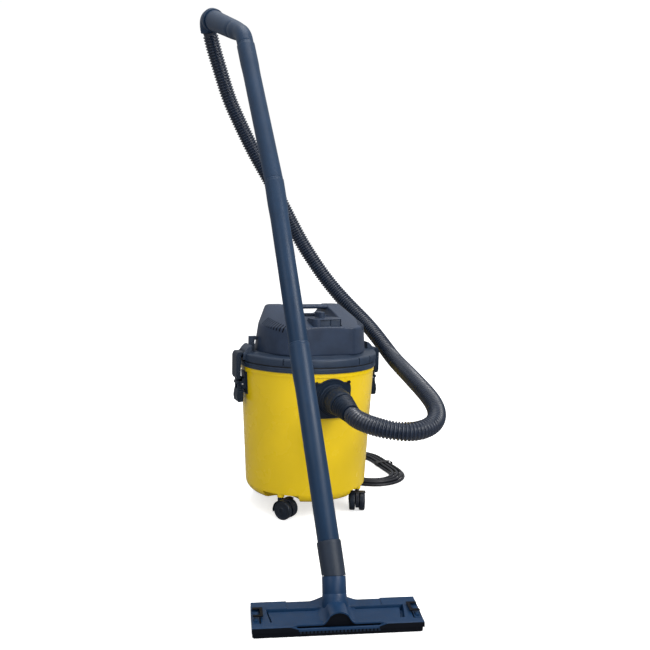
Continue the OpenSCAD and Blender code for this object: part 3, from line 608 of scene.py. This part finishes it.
for q in range(24):
    a = 2 * math.pi * (q + 0.5) / 24
    ca, sa = math.cos(a), math.sin(a)
    t = np.array([-sa, 0, ca])
    rad = np.array([ca, 0, sa])
    b = []
    for yy, h in ((-184.5, 0.1), (-185.5, 0.9), (-195.5, 0.9), (-197, 0.1)):
        for w in (-1.1, 1.1):
            b.append(np.array([0, yy, 283.0]) + rad * (29.8 + (0.15 if h > 0.5 else -0.6)) + t * w * (0.7 if h > 0.5 else 1))
    grip.append((np.array(b), [(0, 1, 3, 2), (2, 3, 5, 4), (4, 5, 7, 6)]))
conn = many("hose_connector.moulded", [v1] + grip, NAVY, 40)
put(conn, "machine", "dark_trim", "hose_connector")

# rim band: rolled lower lip and a groove under its top edge
band = lathe("rim_band.moulded", [(152, 331), (156.2, 331), (156.2, 340.2), (160.9, 340.2), (162.6, 340.2), (163.6, 340.7), (164, 341.8), (164, 346.4), (163.4, 347.0), (163.4, 347.8), (164, 348.4), (164, 350.2), (163.6, 351.4), (162.6, 352), (152, 352)],
             SLATE2, seg=160, closed=True)
put(band, "machine", "dark_trim", "rim_band")

# ------------------------------------------------------------------ latches and casters, with their edges rounded
VOX = 0.7
for side in ("left", "right"):
    put(moulded("latch_lever_" + side, NAVY, VOX, 4), "lever_" + side, "dark_trim", "latch_lever_" + side)
    put(moulded("latch_hook_" + side, NAVY, VOX, 4), "hook_" + side, "dark_trim", "latch_hook_" + side)
put(moulded("latch_brackets", NAVY, VOX, 3), "machine", "dark_trim", "latch_brackets")

for nm, sx, sy, turn in (("front_left", -1, -1, -54.5), ("front_right", 1, -1, -112.5), ("rear_left", -1, 1, -20), ("rear_right", 1, 1, 35)):
    body = "caster_" + nm
    put(moulded("caster_" + nm, BLACK, VOX * 0.8, 3), body, "black_plastic", "caster_" + nm)
    a = math.radians(turn)
    e, w = np.array([math.cos(a), math.sin(a), 0]), np.array([-math.sin(a), math.cos(a), 0])
    hub = np.array([sx * 96.5, sy * 96.5, 22.0]) + 15 * e
    prof = [(2.56, 5.0), (6.5, 5.0), (20.2, 5.0), (21.3, 5.6), (21.9, 7.0), (21.98, 9), (21.98, 14.5), (21.7, 16.4), (20.8, 17.8), (19.3, 18.3), (17.6, 18.0), (16.6, 17.2), (15.6, 17.2), (9, 18.2), (7.2, 18.6), (6.4, 19.4), (2.56, 19.6)]
    ws = []
    for sgn in (1, -1):
        ws.append(lathe_data(prof, hub, w * sgn, e, 72, closed=True))
    wheel = many("wheels_" + nm + ".turned", ws, WHEEL, 40)
    put(wheel, "wheels_" + nm, "wheel_plastic", "wheels_" + nm)

# ------------------------------------------------------------------ head
VH = 1.7
# base ring: rounded band, a stepped shoulder and the ears over the latches
ears = []
base_prof = [(60.2, 360.2), (146, 360.2), (146, 338.4), (147, 338), (148.4, 338), (149, 338.4), (149, 354.6), (163.6, 354.6), (164.7, 355.2), (165, 356.4), (165, 368.2), (164.4, 370.4), (163.0, 372.0), (160.5, 372.9), (150, 373.6), (141, 374.6), (138.4, 375.2), (136.8, 376.4), (126, 376.4), (126, 364), (60.2, 364)]
hb = lathe("head_base.moulded", base_prof, SLATE2, seg=192, closed=True)
blocks = []
for sg in (-1, 1):
    blocks.append(wedge([(sg * x, z) for x, z in ((147.2, 357), (168.2, 357), (168.2, 372), (164, 375.9), (158, 384.3), (152, 389.3), (147.2, 390.8))], -24.8, 24.8))
blocks.append(box_data((-148, -7, 372), (-136, 7, 409.4)))
blocks.append(box_data((-148, -7, 401), (-129.9, 7, 409.4)))
eb = many("ears", blocks[:2], SLATE2)
soften(eb, 0.9, 4)
ebp = many("post", blocks[2:], SLATE2)
soften(ebp, 0.9, 3)
cutters = []
for sg in (-1, 1):
    x0, x1 = (161.7, 182) if sg > 0 else (-182, -161.7)
    cutters.append(many("c", [box_data((x0, -20.4, 345), (x1, 20.4, 380.8))], SLATE2))
for deg in (-40.2, -24.4, 24.4, 40.2):
    a = math.radians(deg)
    b, f = box_data((-1.3, -170, 356.5), (1.3, -162.2, 376))
    rot = np.array([[math.cos(a), -math.sin(a), 0], [math.sin(a), math.cos(a), 0], [0, 0, 1]])
    cutters.append(many("c", [(b @ rot.T, f)], SLATE2))
cut(hb, cutters)
finish_mesh(hb.data, 35, False)
cutters = []
for sg in (-1, 1):
    x0, x1 = (161.7, 182) if sg > 0 else (-182, -161.7)
    cutters.append(many("c", [box_data((x0, -20.4, 345), (x1, 20.4, 380.8))], SLATE2))
cut(eb, cutters)
finish_mesh(eb.data, 40, False)
put(hb, "head", "head_shell", "head_base")
put(eb, "head", "head_shell")
put(ebp, "head", "head_shell")

# cover: a wall that leans in and is cut flat in front, under two humps with a channel between them


def disc(cx_, cy_, z, r, n_=96):
    t = np.linspace(0, 2 * math.pi, n_, endpoint=False)
    return np.stack([cx_ + r * np.cos(t), cy_ + r * np.sin(t), np.full(n_, float(z))], 1)


def hull(name, pts, mat):
    bm_ = bmesh.new()
    for p in M(np.concatenate(pts)):
        bm_.verts.new(p)
    res = bmesh.ops.convex_hull(bm_, input=bm_.verts)
    bmesh.ops.delete(bm_, geom=[g for g in res["geom_interior"] if isinstance(g, bmesh.types.BMVert)], context="VERTS")
    me_ = bpy.data.meshes.new(name)
    bm_.to_mesh(me_)
    bm_.free()
    finish_mesh(me_, 30, True)
    ob = bpy.data.objects.new(name, me_)
    scene.collection.objects.link(ob)
    me_.materials.append(mat)
    return ob


def cover_form(e, z0):
    pts = [disc(0, 0, z0, 129 - e), disc(0, -12, z0, 132.5 - e), disc(0, 0, 437.5 - e / 2, 119 - e), disc(0, -18, 437.5 - e / 2, 125.6 - e)]
    for x in (-76, 76):
        pts += [disc(x, 37, 475.5 - e, 22 - e, 48), disc(x, 37, 478.6 - e, 19.4 - e, 48), disc(x, 37, 480.4 - e, 15 - e, 48)]
    ob = hull("form", pts, SLATE)
    return cut(ob, [
        many("c", [wedge([(-50 - e, 453 - e), (50 + e, 453 - e), (56 + e, 500), (-56 - e, 500)], -200, 200)], SLATE),
        many("c", [box_data((-200, -300, 340), (200, -127 + e, 520))], SLATE)])


cover = cover_form(0, 375.2)
soften(cover, VH, 11)
cover.name = "head_cover.moulded"
well = many("c", [box_data((-47.05, -5.05, 438), (47.05, 65.05, 520))], SLATE)
inner = cover_form(3, 370)
port = many("c", [lathe_data([(0, 95), (27.2, 95), (27.2, 170), (0, 170)], (0, 0, 408), (0, 1, 0), (1, 0, 0), 64)], SLATE)
gd = unit((0.574, 0.819, 0))
gl = many("c", [lathe_data([(0, 105), (7.1, 105), (7.1, 170), (0, 170)], (0, 0, 400), gd, (0, 0, 1), 48)], SLATE)
podhole = many("c", [prism_data([(x + 1, y - 99) for x, y in round_rect(72.2, 50.2, 9.1)], 400, 520)], SLATE)
slots = []
for sg in (1, -1):
    for i in range(10):
        a = math.radians(45 + i * 3.7)
        tw = math.radians(-20)
        b, f = box_data((-1.7, -22, -8.2), (1.7, 22, 8.2))
        ry = np.array([[math.cos(tw), 0, math.sin(tw)], [0, 1, 0], [-math.sin(tw), 0, math.cos(tw)]])
        b = b @ ry.T + np.array([0, -118, 435 + i * 1.3])
        rz = np.array([[math.cos(a), -math.sin(a), 0], [math.sin(a), math.cos(a), 0], [0, 0, 1]])
        b = b @ rz.T
        b[:, 0] *= sg
        slots.append((b, f))
# painted shade: a near-black shell 0.6 mm inside the cover, cut to the vent slots, stands in for the shade inside the
# vents
vent_shade = cover_form(0.6, 370)
sm_ = vent_shade.modifiers.new("slots", "BOOLEAN")
sc_ = many("c", slots, SHADE)
sm_.operation, sm_.object, sm_.solver = "INTERSECT", sc_, "EXACT"
applied(vent_shade)
bpy.data.objects.remove(sc_)
vent_shade.data.materials.clear()
vent_shade.data.materials.append(SHADE)
vent_shade.name = "head_cover.screen"
finish_mesh(vent_shade.data, 30, False)
put(vent_shade, "head", "black_plastic")
cut(cover, [well, inner, port, gl, podhole, many("c", slots, SLATE)])
finish_mesh(cover.data, 40, False)
put(cover, "head", "head_shell", "head_cover")

# carrying handle: a rounded bar that swells into the humps, and the finger well's lining
hv = []
hx = np.linspace(-58, 58, 41)
for x in hx:
    k = np.clip((abs(x) - 36) / 20, 0, 1)
    k = k * k * (3 - 2 * k)
    w, h = 13.6 + 3.5 * k, 5.5 + 0.5 * k
    zc = 474.8 - 0.8 * k
    for q in range(32):
        a = 2 * math.pi * q / 32
        ca, sa = math.cos(a), math.sin(a)
        hv.append((x, 30 + w * abs(ca) ** 0.7 * np.sign(ca), zc + h * abs(sa) ** 0.8 * np.sign(sa)))
hf = grid(41, 32, False, True) + [tuple(range(32))[::-1], tuple(40 * 32 + s for s in range(32))]
bar = many("carry_handle.bar", [(hv, hf)], SLATE, 50)
pan = many("carry_handle.well", [box_data((-47, -5, 438.2), (47, 65, 453.3))], SLATE)
cut(pan, [many("c", [prism_data([(x, y + 30) for x, y in round_rect(88, 64, 9)], 441, 470)], SLATE)])
finish_mesh(pan.data, 35, False)
put(bar, "head", "head_shell", "carry_handle")
put(pan, "head", "head_shell")

# switch pod: a low rounded housing with a tall rounded guard on its left, and a rocker split down its middle
pod = many("switch_pod.hood", [
    prism_data([(x + 1, y - 99) for x, y in round_rect(72, 50, 14)], 438, 459.5),
    prism_data([(x - 10, y - 98) for x, y in round_rect(15.5, 34, 7)], 450, 474),
], SLATE)
soften(pod, 0.9, 9)
cut(pod, [many("c", [box_data((-18.2, -131, 440.5), (34.2, -108, 457.5))], SLATE), many("c", [box_data((-18.2, -109.5, 432), (34.2, -77, 457.2))], SLATE)])
finish_mesh(pod.data, 40, False)
put(pod, "head", "head_shell", "switch_pod")
put(moulded("switch_rocker", SLATE2, 0.6, 3), "rocker", "black_plastic", "switch_rocker")

# strain relief with its ribs
gp = [(3.9, 118), (7, 118), (7, 127.2), (9.4, 127.3), (10, 127.9), (9.6, 129.6), (8.2, 130.2)]
for k in range(8):
    r, s0 = 7.9 - 0.34 * k, 130.7 + 2.95 * k
    gp += [(r, s0), (r, s0 + 1.7), (r - 1.1, s0 + 2.1), (r - 1.1, s0 + 2.8)]
gp += [(5.1, 154.6), (3.9, 154.7)]
gland = lathe("cord_gland.ribbed", gp, RUBBER, (0, 0, 400), gd, (0, 0, 1), 48, closed=True)
put(gland, "head", "black_rubber", "cord_gland")

# blower port with a rolled mouth
bp_ = lathe("blower_port.moulded", [(19, 112.2), (24, 112.2), (24, 119.4), (26.9, 119.6), (27, 126.2), (26.6, 127.1), (24.8, 127.3), (24, 128), (24, 146.6), (23.2, 147.8), (21.6, 148), (19.8, 147.6), (19, 146.6)],
            SLATE, (0, 0, 408), (0, 1, 0), (1, 0, 0), 96, closed=True)
put(bp_, "head", "head_shell", "blower_port")

# ------------------------------------------------------------------ wand
nn, wu, tu = tip(24, 15), tip(30.2, 2.3), tip(31, -2.8)
noz = np.array([-181.5, -635.0, 0.0])
nb = noz + np.array([math.sin(math.radians(15)), math.cos(math.radians(15)), 0]) * 62 + np.array([0, 0, 34.0])
knee = nb + nn * 35.5
j3 = knee + wu * 58
j2 = j3 + wu * 370
j1 = j2 + wu * 370
j0 = j1 + tu * 370


def tube_profile(low, r_low, top):
    """A tube with a swelled socket at its upper end: a soft shoulder, a bead and a rolled lip."""
    return [(17.2, low), (r_low - 0.5, low), (r_low, low + 0.8), (19.25, top - 96), (19.4, top - 88), (19.8, top - 76), (20.2, top - 66), (20.5, top - 58), (20.6, top - 52), (20.6, top - 30), (20.6, top - 9), (20.6, top - 4.6), (20.45, top - 4.2), (20.45, top - 3.6), (20.6, top - 3.2), (20.6, top - 1.3), (20.2, top - 0.5), (19.6, top - 0.1), (19.32, top - 0.6), (19.32, top - 39), (17.2, top - 40)]


for nm, o, u, low, r in (("lower", j3, wu, -33, 19.25), ("middle", j2, wu, -38, 19.25)):
    put(lathe("wand_tube_%s.moulded" % nm, tube_profile(low, r, 369.9), WAND, o, u, (1, 0, 0), 80, closed=True), "wand", "wand_plastic", "wand_tube_" + nm)
up_ = many("wand_tube_upper.moulded", [
    lathe_data([(16.9, 1.3), (19.2, 1.3), (19.6, 1.8)] + [(max(a, 19.6) if 19.1 < a < 19.7 and b < 320 else a, b) for a, b in tube_profile(2.5, 19.6, 369.9)[3:]] , j1, tu, (1, 0, 0), 80, closed=True),
    lathe_data([(17.25, -38), (18.8, -38), (19.25, -37.4), (19.25, 2.6), (17.25, 2.6)], j1, wu, (1, 0, 0), 80, closed=True)], WAND)
put(up_, "wand", "wand_plastic", "wand_tube_upper")

# sleeve between the wand and the nozzle's neck: a fatter collar
sl_prof = [(14.6, -3.6), (20.2, -3.6), (20.5, -2.6), (20.6, -1), (20.8, 14), (21.1, 40), (21.2, 54.5), (21.1, 56.6), (20.7, 57.6), (19.8, 57.9), (19.32, 57.2), (19.32, 24.2), (14.6, 24.2)]
sl = lathe("wand_sleeve.moulded", sl_prof, SLEEVE, knee, wu, (1, 0, 0), 80, closed=True)
# everything under the neck's own end plane is trimmed off
pln = knee + nn * 0.45
me = sl.data
bm = bmesh.new()
bm.from_mesh(me)
bmesh.ops.bisect_plane(bm, geom=bm.verts[:] + bm.edges[:] + bm.faces[:], plane_co=Vector(M(pln)), plane_no=Vector(nn), clear_inner=True)
bmesh.ops.holes_fill(bm, edges=[e_ for e_ in bm.edges if e_.is_boundary], sides=0)
bm.to_mesh(me)
bm.free()
finish_mesh(me, 35)
spig = lathe("wand_sleeve.spigot", [(14.6, -23.9), (16.4, -23.9), (16.94, -23.2), (16.94, 5.8), (14.6, 5.8)], NAVY, knee, nn, (1, 0, 0), 72, closed=True)
put(sl, "wand", "dark_trim", "wand_sleeve")
put(spig, "wand", "dark_trim")

# handle: spigot, bend and a grip that thickens towards the cuff
gu = tip(90 - 21.6, -8)
b0 = j0 + tu * 35
bend = math.acos(float(tu @ gu))
bn = unit(np.cross(tu, gu))
bi = np.cross(bn, tu)
BR = 60.0
bt = BR * math.tan(bend / 2)
pts, rad = [], []


def add(p, r):
    pts.append(np.array(p, float))
    rad.append(r)


add(j0 - tu * 37.9, 16.2)
add(j0 - tu * 37.9, 18.9)
add(j0 - tu * 37.2, 19.2)
for s, r in ((-20, 19.2), (-0.5, 19.2), (-0.2, 18.9), (0.4, 18.6), (1.6, 18.6), (2.2, 19.0), (5, 19.1), (35 - bt, 19.25)):
    add(j0 + tu * s, r)
ctr = b0 - tu * bt + bi * BR
for q in range(1, 17):
    a = bend * q / 16
    add(ctr - bi * BR * math.cos(a) + tu * BR * math.sin(a), 19.3 + 0.3 * q / 16)
for s, r in ((bt + 8, 20.3), (bt + 18, 21.2), (bt + 30, 21.9), (bt + 31.5, 21.5), (bt + 33, 21.5), (bt + 34.5, 22.1), (bt + 50, 22.4), (150, 24.0), (172, 24.6), (186, 24.9), (189.2, 24.8), (189.9, 24.0), (189.9, 16.2)):
    add(b0 + gu * s, r)
p_ = np.array(pts)
d_ = np.array([tu] * 11 + [unit(np.cross(bn, -(bi * -1) * 0 + (pts[11 + q] - ctr))) for q in range(16)] + [gu] * 13)
side = np.cross(d_, bn)
sides = 56
ang = np.linspace(0, 2 * math.pi, sides, endpoint=False)
hv = (p_[:, None, :] + np.array(rad)[:, None, None] * (np.cos(ang)[None, :, None] * bn[None, None, :] + np.sin(ang)[None, :, None] * side[:, None, :])).reshape(-1, 3)
handle = many("wand_handle.moulded", [(hv, grid(len(p_), sides, False, True))], WAND, 35)
put(handle, "wand", "wand_plastic", "wand_handle")

# cuff: a turned collar and an elbow that the hose screws into
ge = b0 + gu * 190
ci = np.array([0.3, 0.3, -0.9])
ci = unit(ci - (ci @ gu) * gu)
cn = np.cross(gu, ci)
cs = ge + gu * 20
CR, CA = 32.0, math.radians(97)
cc = cs + ci * CR
pts, rad, dirs = [], [], []
for s, r in ((0.1, 16.8), (0.1, 26.6), (0.8, 27.6), (2.2, 28), (5, 28), (5.6, 27.3), (7.0, 27.3), (7.6, 28), (12, 28), (14.8, 27.8), (16, 27.2), (18, 25.6), (19.6, 24.0)):
    pts.append(ge + gu * s)
    rad.append(r)
    dirs.append(gu)
nq = 26
for q in range(nq + 1):
    a = CA * q / nq
    pts.append(cc - ci * CR * math.cos(a) + gu * CR * math.sin(a))
    dirs.append(unit(gu * math.cos(a) + ci * math.sin(a)))
    k = q / nq
    r = 23.0 if q not in (7, 8) else 22.5
    if k > 0.6:
        r = 23.0 if (q % 3) else 22.3
    rad.append(min(r, 23.0))
rad[-1] = 21.6
pts.append(pts[-1] - dirs[-1] * 0.02)
rad.append(17.0)
dirs.append(dirs[-1])
p_, d_ = np.array(pts), np.array(dirs)
side = np.cross(d_, cn)
cv_ = (p_[:, None, :] + np.array(rad)[:, None, None] * (np.cos(ang)[None, :, None] * cn[None, None, :] + np.sin(ang)[None, :, None] * side[:, None, :])).reshape(-1, 3)
cuff = many("hose_cuff.moulded", [(cv_, grid(len(p_), sides, False, True))], WAND, 35)
put(cuff, "wand", "dark_trim", "hose_cuff")

# ------------------------------------------------------------------ nozzle
a15 = math.radians(-15)
RN = np.array([[math.cos(a15), -math.sin(a15), 0], [math.sin(a15), math.cos(a15), 0], [0, 0, 1]])


def N2(p):
    return np.asarray(p, float) @ RN.T + noz


def sm(t):
    t = np.clip(t, 0, 1)
    return t * t * (3 - 2 * t)


def top(x, y):
    """Height of the nozzle's upper sheet."""
    zs = 18.4 + 5.4 * y / 79.0
    d = abs(x)
    h = zs
    # half-round hump that widens into a trumpet at the front and flares into the shoulders at the back
    rr = 21.6
    crest = 16.6 + math.sqrt(max(rr * rr - min(d, 15.0) ** 2, 0))
    wide = 24.0 + 20.0 * sm((y - 48) / 30) + 6.0 * sm((14 - y) / 14)
    if d <= 15:
        h = crest
    elif d < wide:
        t = (d - 15) / (wide - 15)
        h = zs + (crest - zs) * (1 - t) ** 2.0
    # sunken panels, the raised strip behind them and the higher block at each end
    edge_x = 110.5 + 4.5 * sm((y - 16) / 38)
    flare = sm((d - 20) / 10)
    pan_ = (sm((y - 15.2) / 0.8) * (1 - sm((y - 54.4) / 0.8))) * (1 - sm((d - edge_x) / 0.8)) * flare
    strip = sm((y - 54.8) / 0.8) * (1 - sm((d - 80.5) / 0.8)) * sm((d - 26) / 16)
    h -= 3.4 * pan_ + 1.5 * strip
    # slot at the outer end of each panel and the shadow line along its rear edge
    if 15.5 < y < 54.8 and edge_x - (5.0 if x > 0 else 2.2) < d < edge_x + 0.2:
        h -= 5.5
    if 50.8 < y < 54.8 and 30 < d < edge_x:
        h -= 5.5 * sm((d - 30) / 12)
    # clip in each end: a C-shaped groove round a raised tab
    if d > 122:
        inside = 125.2 < d < 140.2 and 12.5 < y < 56.5
        core = 128.2 < d < 140.2 and 16.0 < y < 53.0
        if inside and not core:
            h -= 6.5
        elif core:
            h -= 1.4
            if 131 < d < 137 and 20 < y < 46:
                h += 2.2
    # rounded outer edges
    e_ = min(141 - d, 79 - y, y if d > 77 else 99)
    if e_ < 1.6:
        h -= 1.6 * (1 - math.sqrt(max(0, 1 - (1 - e_ / 1.6) ** 2)))
    return h


def front(x):
    d = abs(x)
    return 0.0 if d >= 77 else (4.6 if d <= 67 else 4.6 * (77 - d) / 10)


step = 1.0
ex = [e for q in (77, 67, 80.5, 81.3, 106.6, 110.5, 111.3, 115.2, 125.2, 125.25, 128.2, 128.25, 131, 131.05, 137, 137.05, 139.5, 140, 140.2, 140.25, 140.6, 141) for e in (q, -q)]
xs = np.unique(np.concatenate([np.arange(-141, 141.01, step), ex]))
ys_ = np.unique(np.concatenate([np.arange(0, 79.01, step), [0.4, 0.8, 1.2, 12.5, 12.55, 15.2, 15.6, 16.0, 16.05, 20, 20.05, 46, 46.05, 50.8, 50.85, 53, 53.05, 54.4, 54.8, 55.2, 55.6, 56.5, 56.55, 77.8, 78.2, 78.6]]))
v = []
for x in xs:
    y0 = front(x)
    for yy in ys_:
        y = y0 + (yy - 0.0) * (12 - y0) / 12 if yy < 12 else yy
        v.append((x, y, top(x, y)))
v = np.array(v)
nx, ny = len(xs), len(ys_)
f = grid(nx, ny)
loop_ = [i * ny for i in range(nx)] + [(nx - 1) * ny + j for j in range(1, ny)] + [i * ny + ny - 1 for i in range(nx - 2, -1, -1)] + [j for j in range(ny - 2, 0, -1)]
base = len(v)
low = []
for i in loop_:
    x, y, z = v[i]
    centre = abs(x) < 77 and y < 6
    low.append((x, y, z - 2.4 if centre and abs(x) < 70 else 9.05))
low2 = []
for (x, y, z), i in zip(low, loop_):
    centre = abs(x) < 77 and y < 6
    if centre and abs(x) < 70:
        low2.append((x, min(y + 1.6, 78), z))
    else:
        low2.append((x - np.sign(x) * (2.2 if abs(x) > 140.9 else 0), y + (2.2 if y < 5 else (-2.2 if y > 78 else 0)), z))
v = np.concatenate([v, low, low2])
m_ = len(loop_)
for k in range(m_):
    k2 = (k + 1) % m_
    f.append((loop_[k], loop_[k2], base + k2, base + k))
    f.append((base + k, base + k2, base + m_ + k2, base + m_ + k))
sheet = many("nozzle_cover.sheet", [(N2(v), f)], NOZ, 32)
put(sheet, "nozzle", "nozzle_shell", "nozzle_cover")
# painted shade: a near-black sheet under the arch stands in for the shade there, and shows through it
arch_shade_pts = []
for x in np.linspace(-76, 76, 77):
    for y, dz in ((9.0, 0), (9.0, 1), (30.0, 1)):
        arch_shade_pts.append((x, y, 9.2 if not dz else max(min(top(x, y) - 3.2, 60), 9.3)))
arch_shade_pts = np.array(arch_shade_pts)
arch_shade = many("nozzle_cover.lining", [(N2(arch_shade_pts), grid(77, 3))], SHADE, 35)
put(arch_shade, "nozzle", "dark_trim")
# front bumper, with ends that climb to the shoulders
secs = []
for x in np.concatenate([np.linspace(-78, -64, 8), np.linspace(-60, 60, 25), np.linspace(64, 78, 8)]):
    k = sm((abs(x) - 64.5) / 12.5)
    zt = 14.0 + 4.6 * k
    secs.append([(x, 0.3, 9.6), (x, 0.3, zt - 1.0), (x, 0.6, zt - 0.3), (x, 1.3, zt), (x, 3.2, zt), (x, 3.8, zt - 0.5), (x, 3.8, 9.6)])
secs = np.array(secs)
bump = many("nozzle_cover.bumper", [(N2(secs.reshape(-1, 3)), grid(len(secs), 7, False, True) + [tuple(range(7)), tuple((len(secs) - 1) * 7 + q for q in range(7))])], NOZ, 35)
put(bump, "nozzle", "nozzle_shell")
# dark front face under the shoulders, cut away in a slope towards the bumper's ends
fr = []
for sg in (-1, 1):
    poly = [(sg * 79.5, 17.2), (sg * 140.2, 17.2), (sg * 140.8, 16.6), (sg * 140.8, 8.9), (sg * 66, 8.9), (sg * 66, 12.6)]
    b, fb = wedge(poly, -0.35, 0.25)
    fr.append((N2(b), fb))
fascia = many("nozzle_sole.fascia", fr, SHADE, 35)
put(fascia, "nozzle", "dark_trim")
# row of small teeth along the lower front edge
teeth = []
for q in range(22):
    x = -64 + q * 6.1
    b, fb = box_data((x, 0.0, 6.0), (x + 3.1, 1.2, 9.2))
    teeth.append((N2(b), fb))
tooth = many("nozzle_sole.teeth", teeth, NAVY, 35)
put(tooth, "nozzle", "dark_trim")
put(moulded("nozzle_sole", SHADE, 0.9, 2), "nozzle", "dark_trim", "nozzle_sole")
neck = lathe("nozzle_neck.moulded", [(17.05, -15.8), (21.6, -15.8), (21.8, -12), (21.0, 0), (20.8, 6.0), (20.5, 6.6), (20.5, 7.4), (20.7, 8.0), (20.4, 34.4), (20.1, 35.2), (19.5, 35.45), (17.05, 35.45)], NOZ, nb, nn, (1, 0, 0), 80, closed=True)
put(neck, "nozzle", "nozzle_shell", "nozzle_neck")

# ------------------------------------------------------------------ floor and light
# The floor and the backdrop look white to the camera and throw only a little light back at the object.
fm = bpy.data.materials.new("floor")
fm.use_nodes = True
nt = fm.node_tree
nt.nodes.clear()
out = nt.nodes.new("ShaderNodeOutputMaterial")
lp = nt.nodes.new("ShaderNodeLightPath")
dim, pale, glow, add = (nt.nodes.new(k) for k in ("ShaderNodeBsdfDiffuse", "ShaderNodeBsdfDiffuse", "ShaderNodeEmission", "ShaderNodeAddShader"))
mix = nt.nodes.new("ShaderNodeMixShader")
dim.inputs[0].default_value = (0.30, 0.30, 0.31, 1)
pale.inputs[0].default_value = (0.80, 0.80, 0.80, 1)
glow.inputs[0].default_value, glow.inputs[1].default_value = (1, 1, 1, 1), 0.62
nt.links.new(pale.outputs[0], add.inputs[0])
nt.links.new(glow.outputs[0], add.inputs[1])
nt.links.new(lp.outputs["Is Camera Ray"], mix.inputs[0])
nt.links.new(dim.outputs[0], mix.inputs[1])
nt.links.new(add.outputs[0], mix.inputs[2])
nt.links.new(mix.outputs[0], out.inputs[0])
floor_me = bpy.data.meshes.new("floor")
floor_me.from_pydata([(-30, -30, -0.0002), (30, -30, -0.0002), (30, 30, -0.0002), (-30, 30, -0.0002)], [], [(0, 1, 2, 3)])
floor = bpy.data.objects.new("floor", floor_me)
floor_me.materials.append(fm)
scene.collection.objects.link(floor)

world = bpy.data.worlds.new("studio")
scene.world = world
world.use_nodes = True
nt = world.node_tree
nt.nodes.clear()
out = nt.nodes.new("ShaderNodeOutputWorld")
lp = nt.nodes.new("ShaderNodeLightPath")
tc = nt.nodes.new("ShaderNodeTexCoord")
sep = nt.nodes.new("ShaderNodeSeparateXYZ")
ramp = nt.nodes.new("ShaderNodeValToRGB")
back, soft = nt.nodes.new("ShaderNodeBackground"), nt.nodes.new("ShaderNodeBackground")
mix = nt.nodes.new("ShaderNodeMixShader")
nt.links.new(tc.outputs["Generated"], sep.inputs[0])
nt.links.new(sep.outputs[2], ramp.inputs[0])
ramp.color_ramp.elements[0].position, ramp.color_ramp.elements[1].position = 0.0, 0.85
ramp.color_ramp.elements[0].color = (0.30, 0.31, 0.33, 1)
ramp.color_ramp.elements[1].color = (0.88, 0.89, 0.90, 1)
nt.links.new(ramp.outputs[0], soft.inputs[0])
soft.inputs[1].default_value = 1.0
back.inputs[0].default_value, back.inputs[1].default_value = (1, 1, 1, 1), 1.02
nt.links.new(lp.outputs["Is Camera Ray"], mix.inputs[0])
nt.links.new(soft.outputs[0], mix.inputs[1])
nt.links.new(back.outputs[0], mix.inputs[2])
nt.links.new(mix.outputs[0], out.inputs[0])


def area(name, loc, target, size_, power, col=(1, 1, 1)):
    ld = bpy.data.lights.new(name, "AREA")
    ld.shape, ld.size, ld.energy, ld.color = "DISK", size_, power, col
    lo = bpy.data.objects.new(name, ld)
    lo.location = loc
    lo.rotation_euler = (Vector(target) - Vector(loc)).to_track_quat("-Z", "Y").to_euler()
    scene.collection.objects.link(lo)


area("key", (1.7, -2.6, 2.7), (0.0, 0.1, 0.4), 1.8, 85, (1.0, 0.99, 0.97))
area("front", (0.5, -3.6, 1.2), (0.0, 0.0, 0.4), 2.2, 34)
area("fill", (-2.8, -1.4, 2.0), (0.0, 0.1, 0.4), 2.2, 16, (0.95, 0.97, 1.0))
area("top", (0.1, 0.3, 3.4), (0.0, 0.1, 0.2), 2.2, 34)

scene.view_settings.view_transform = "Standard"
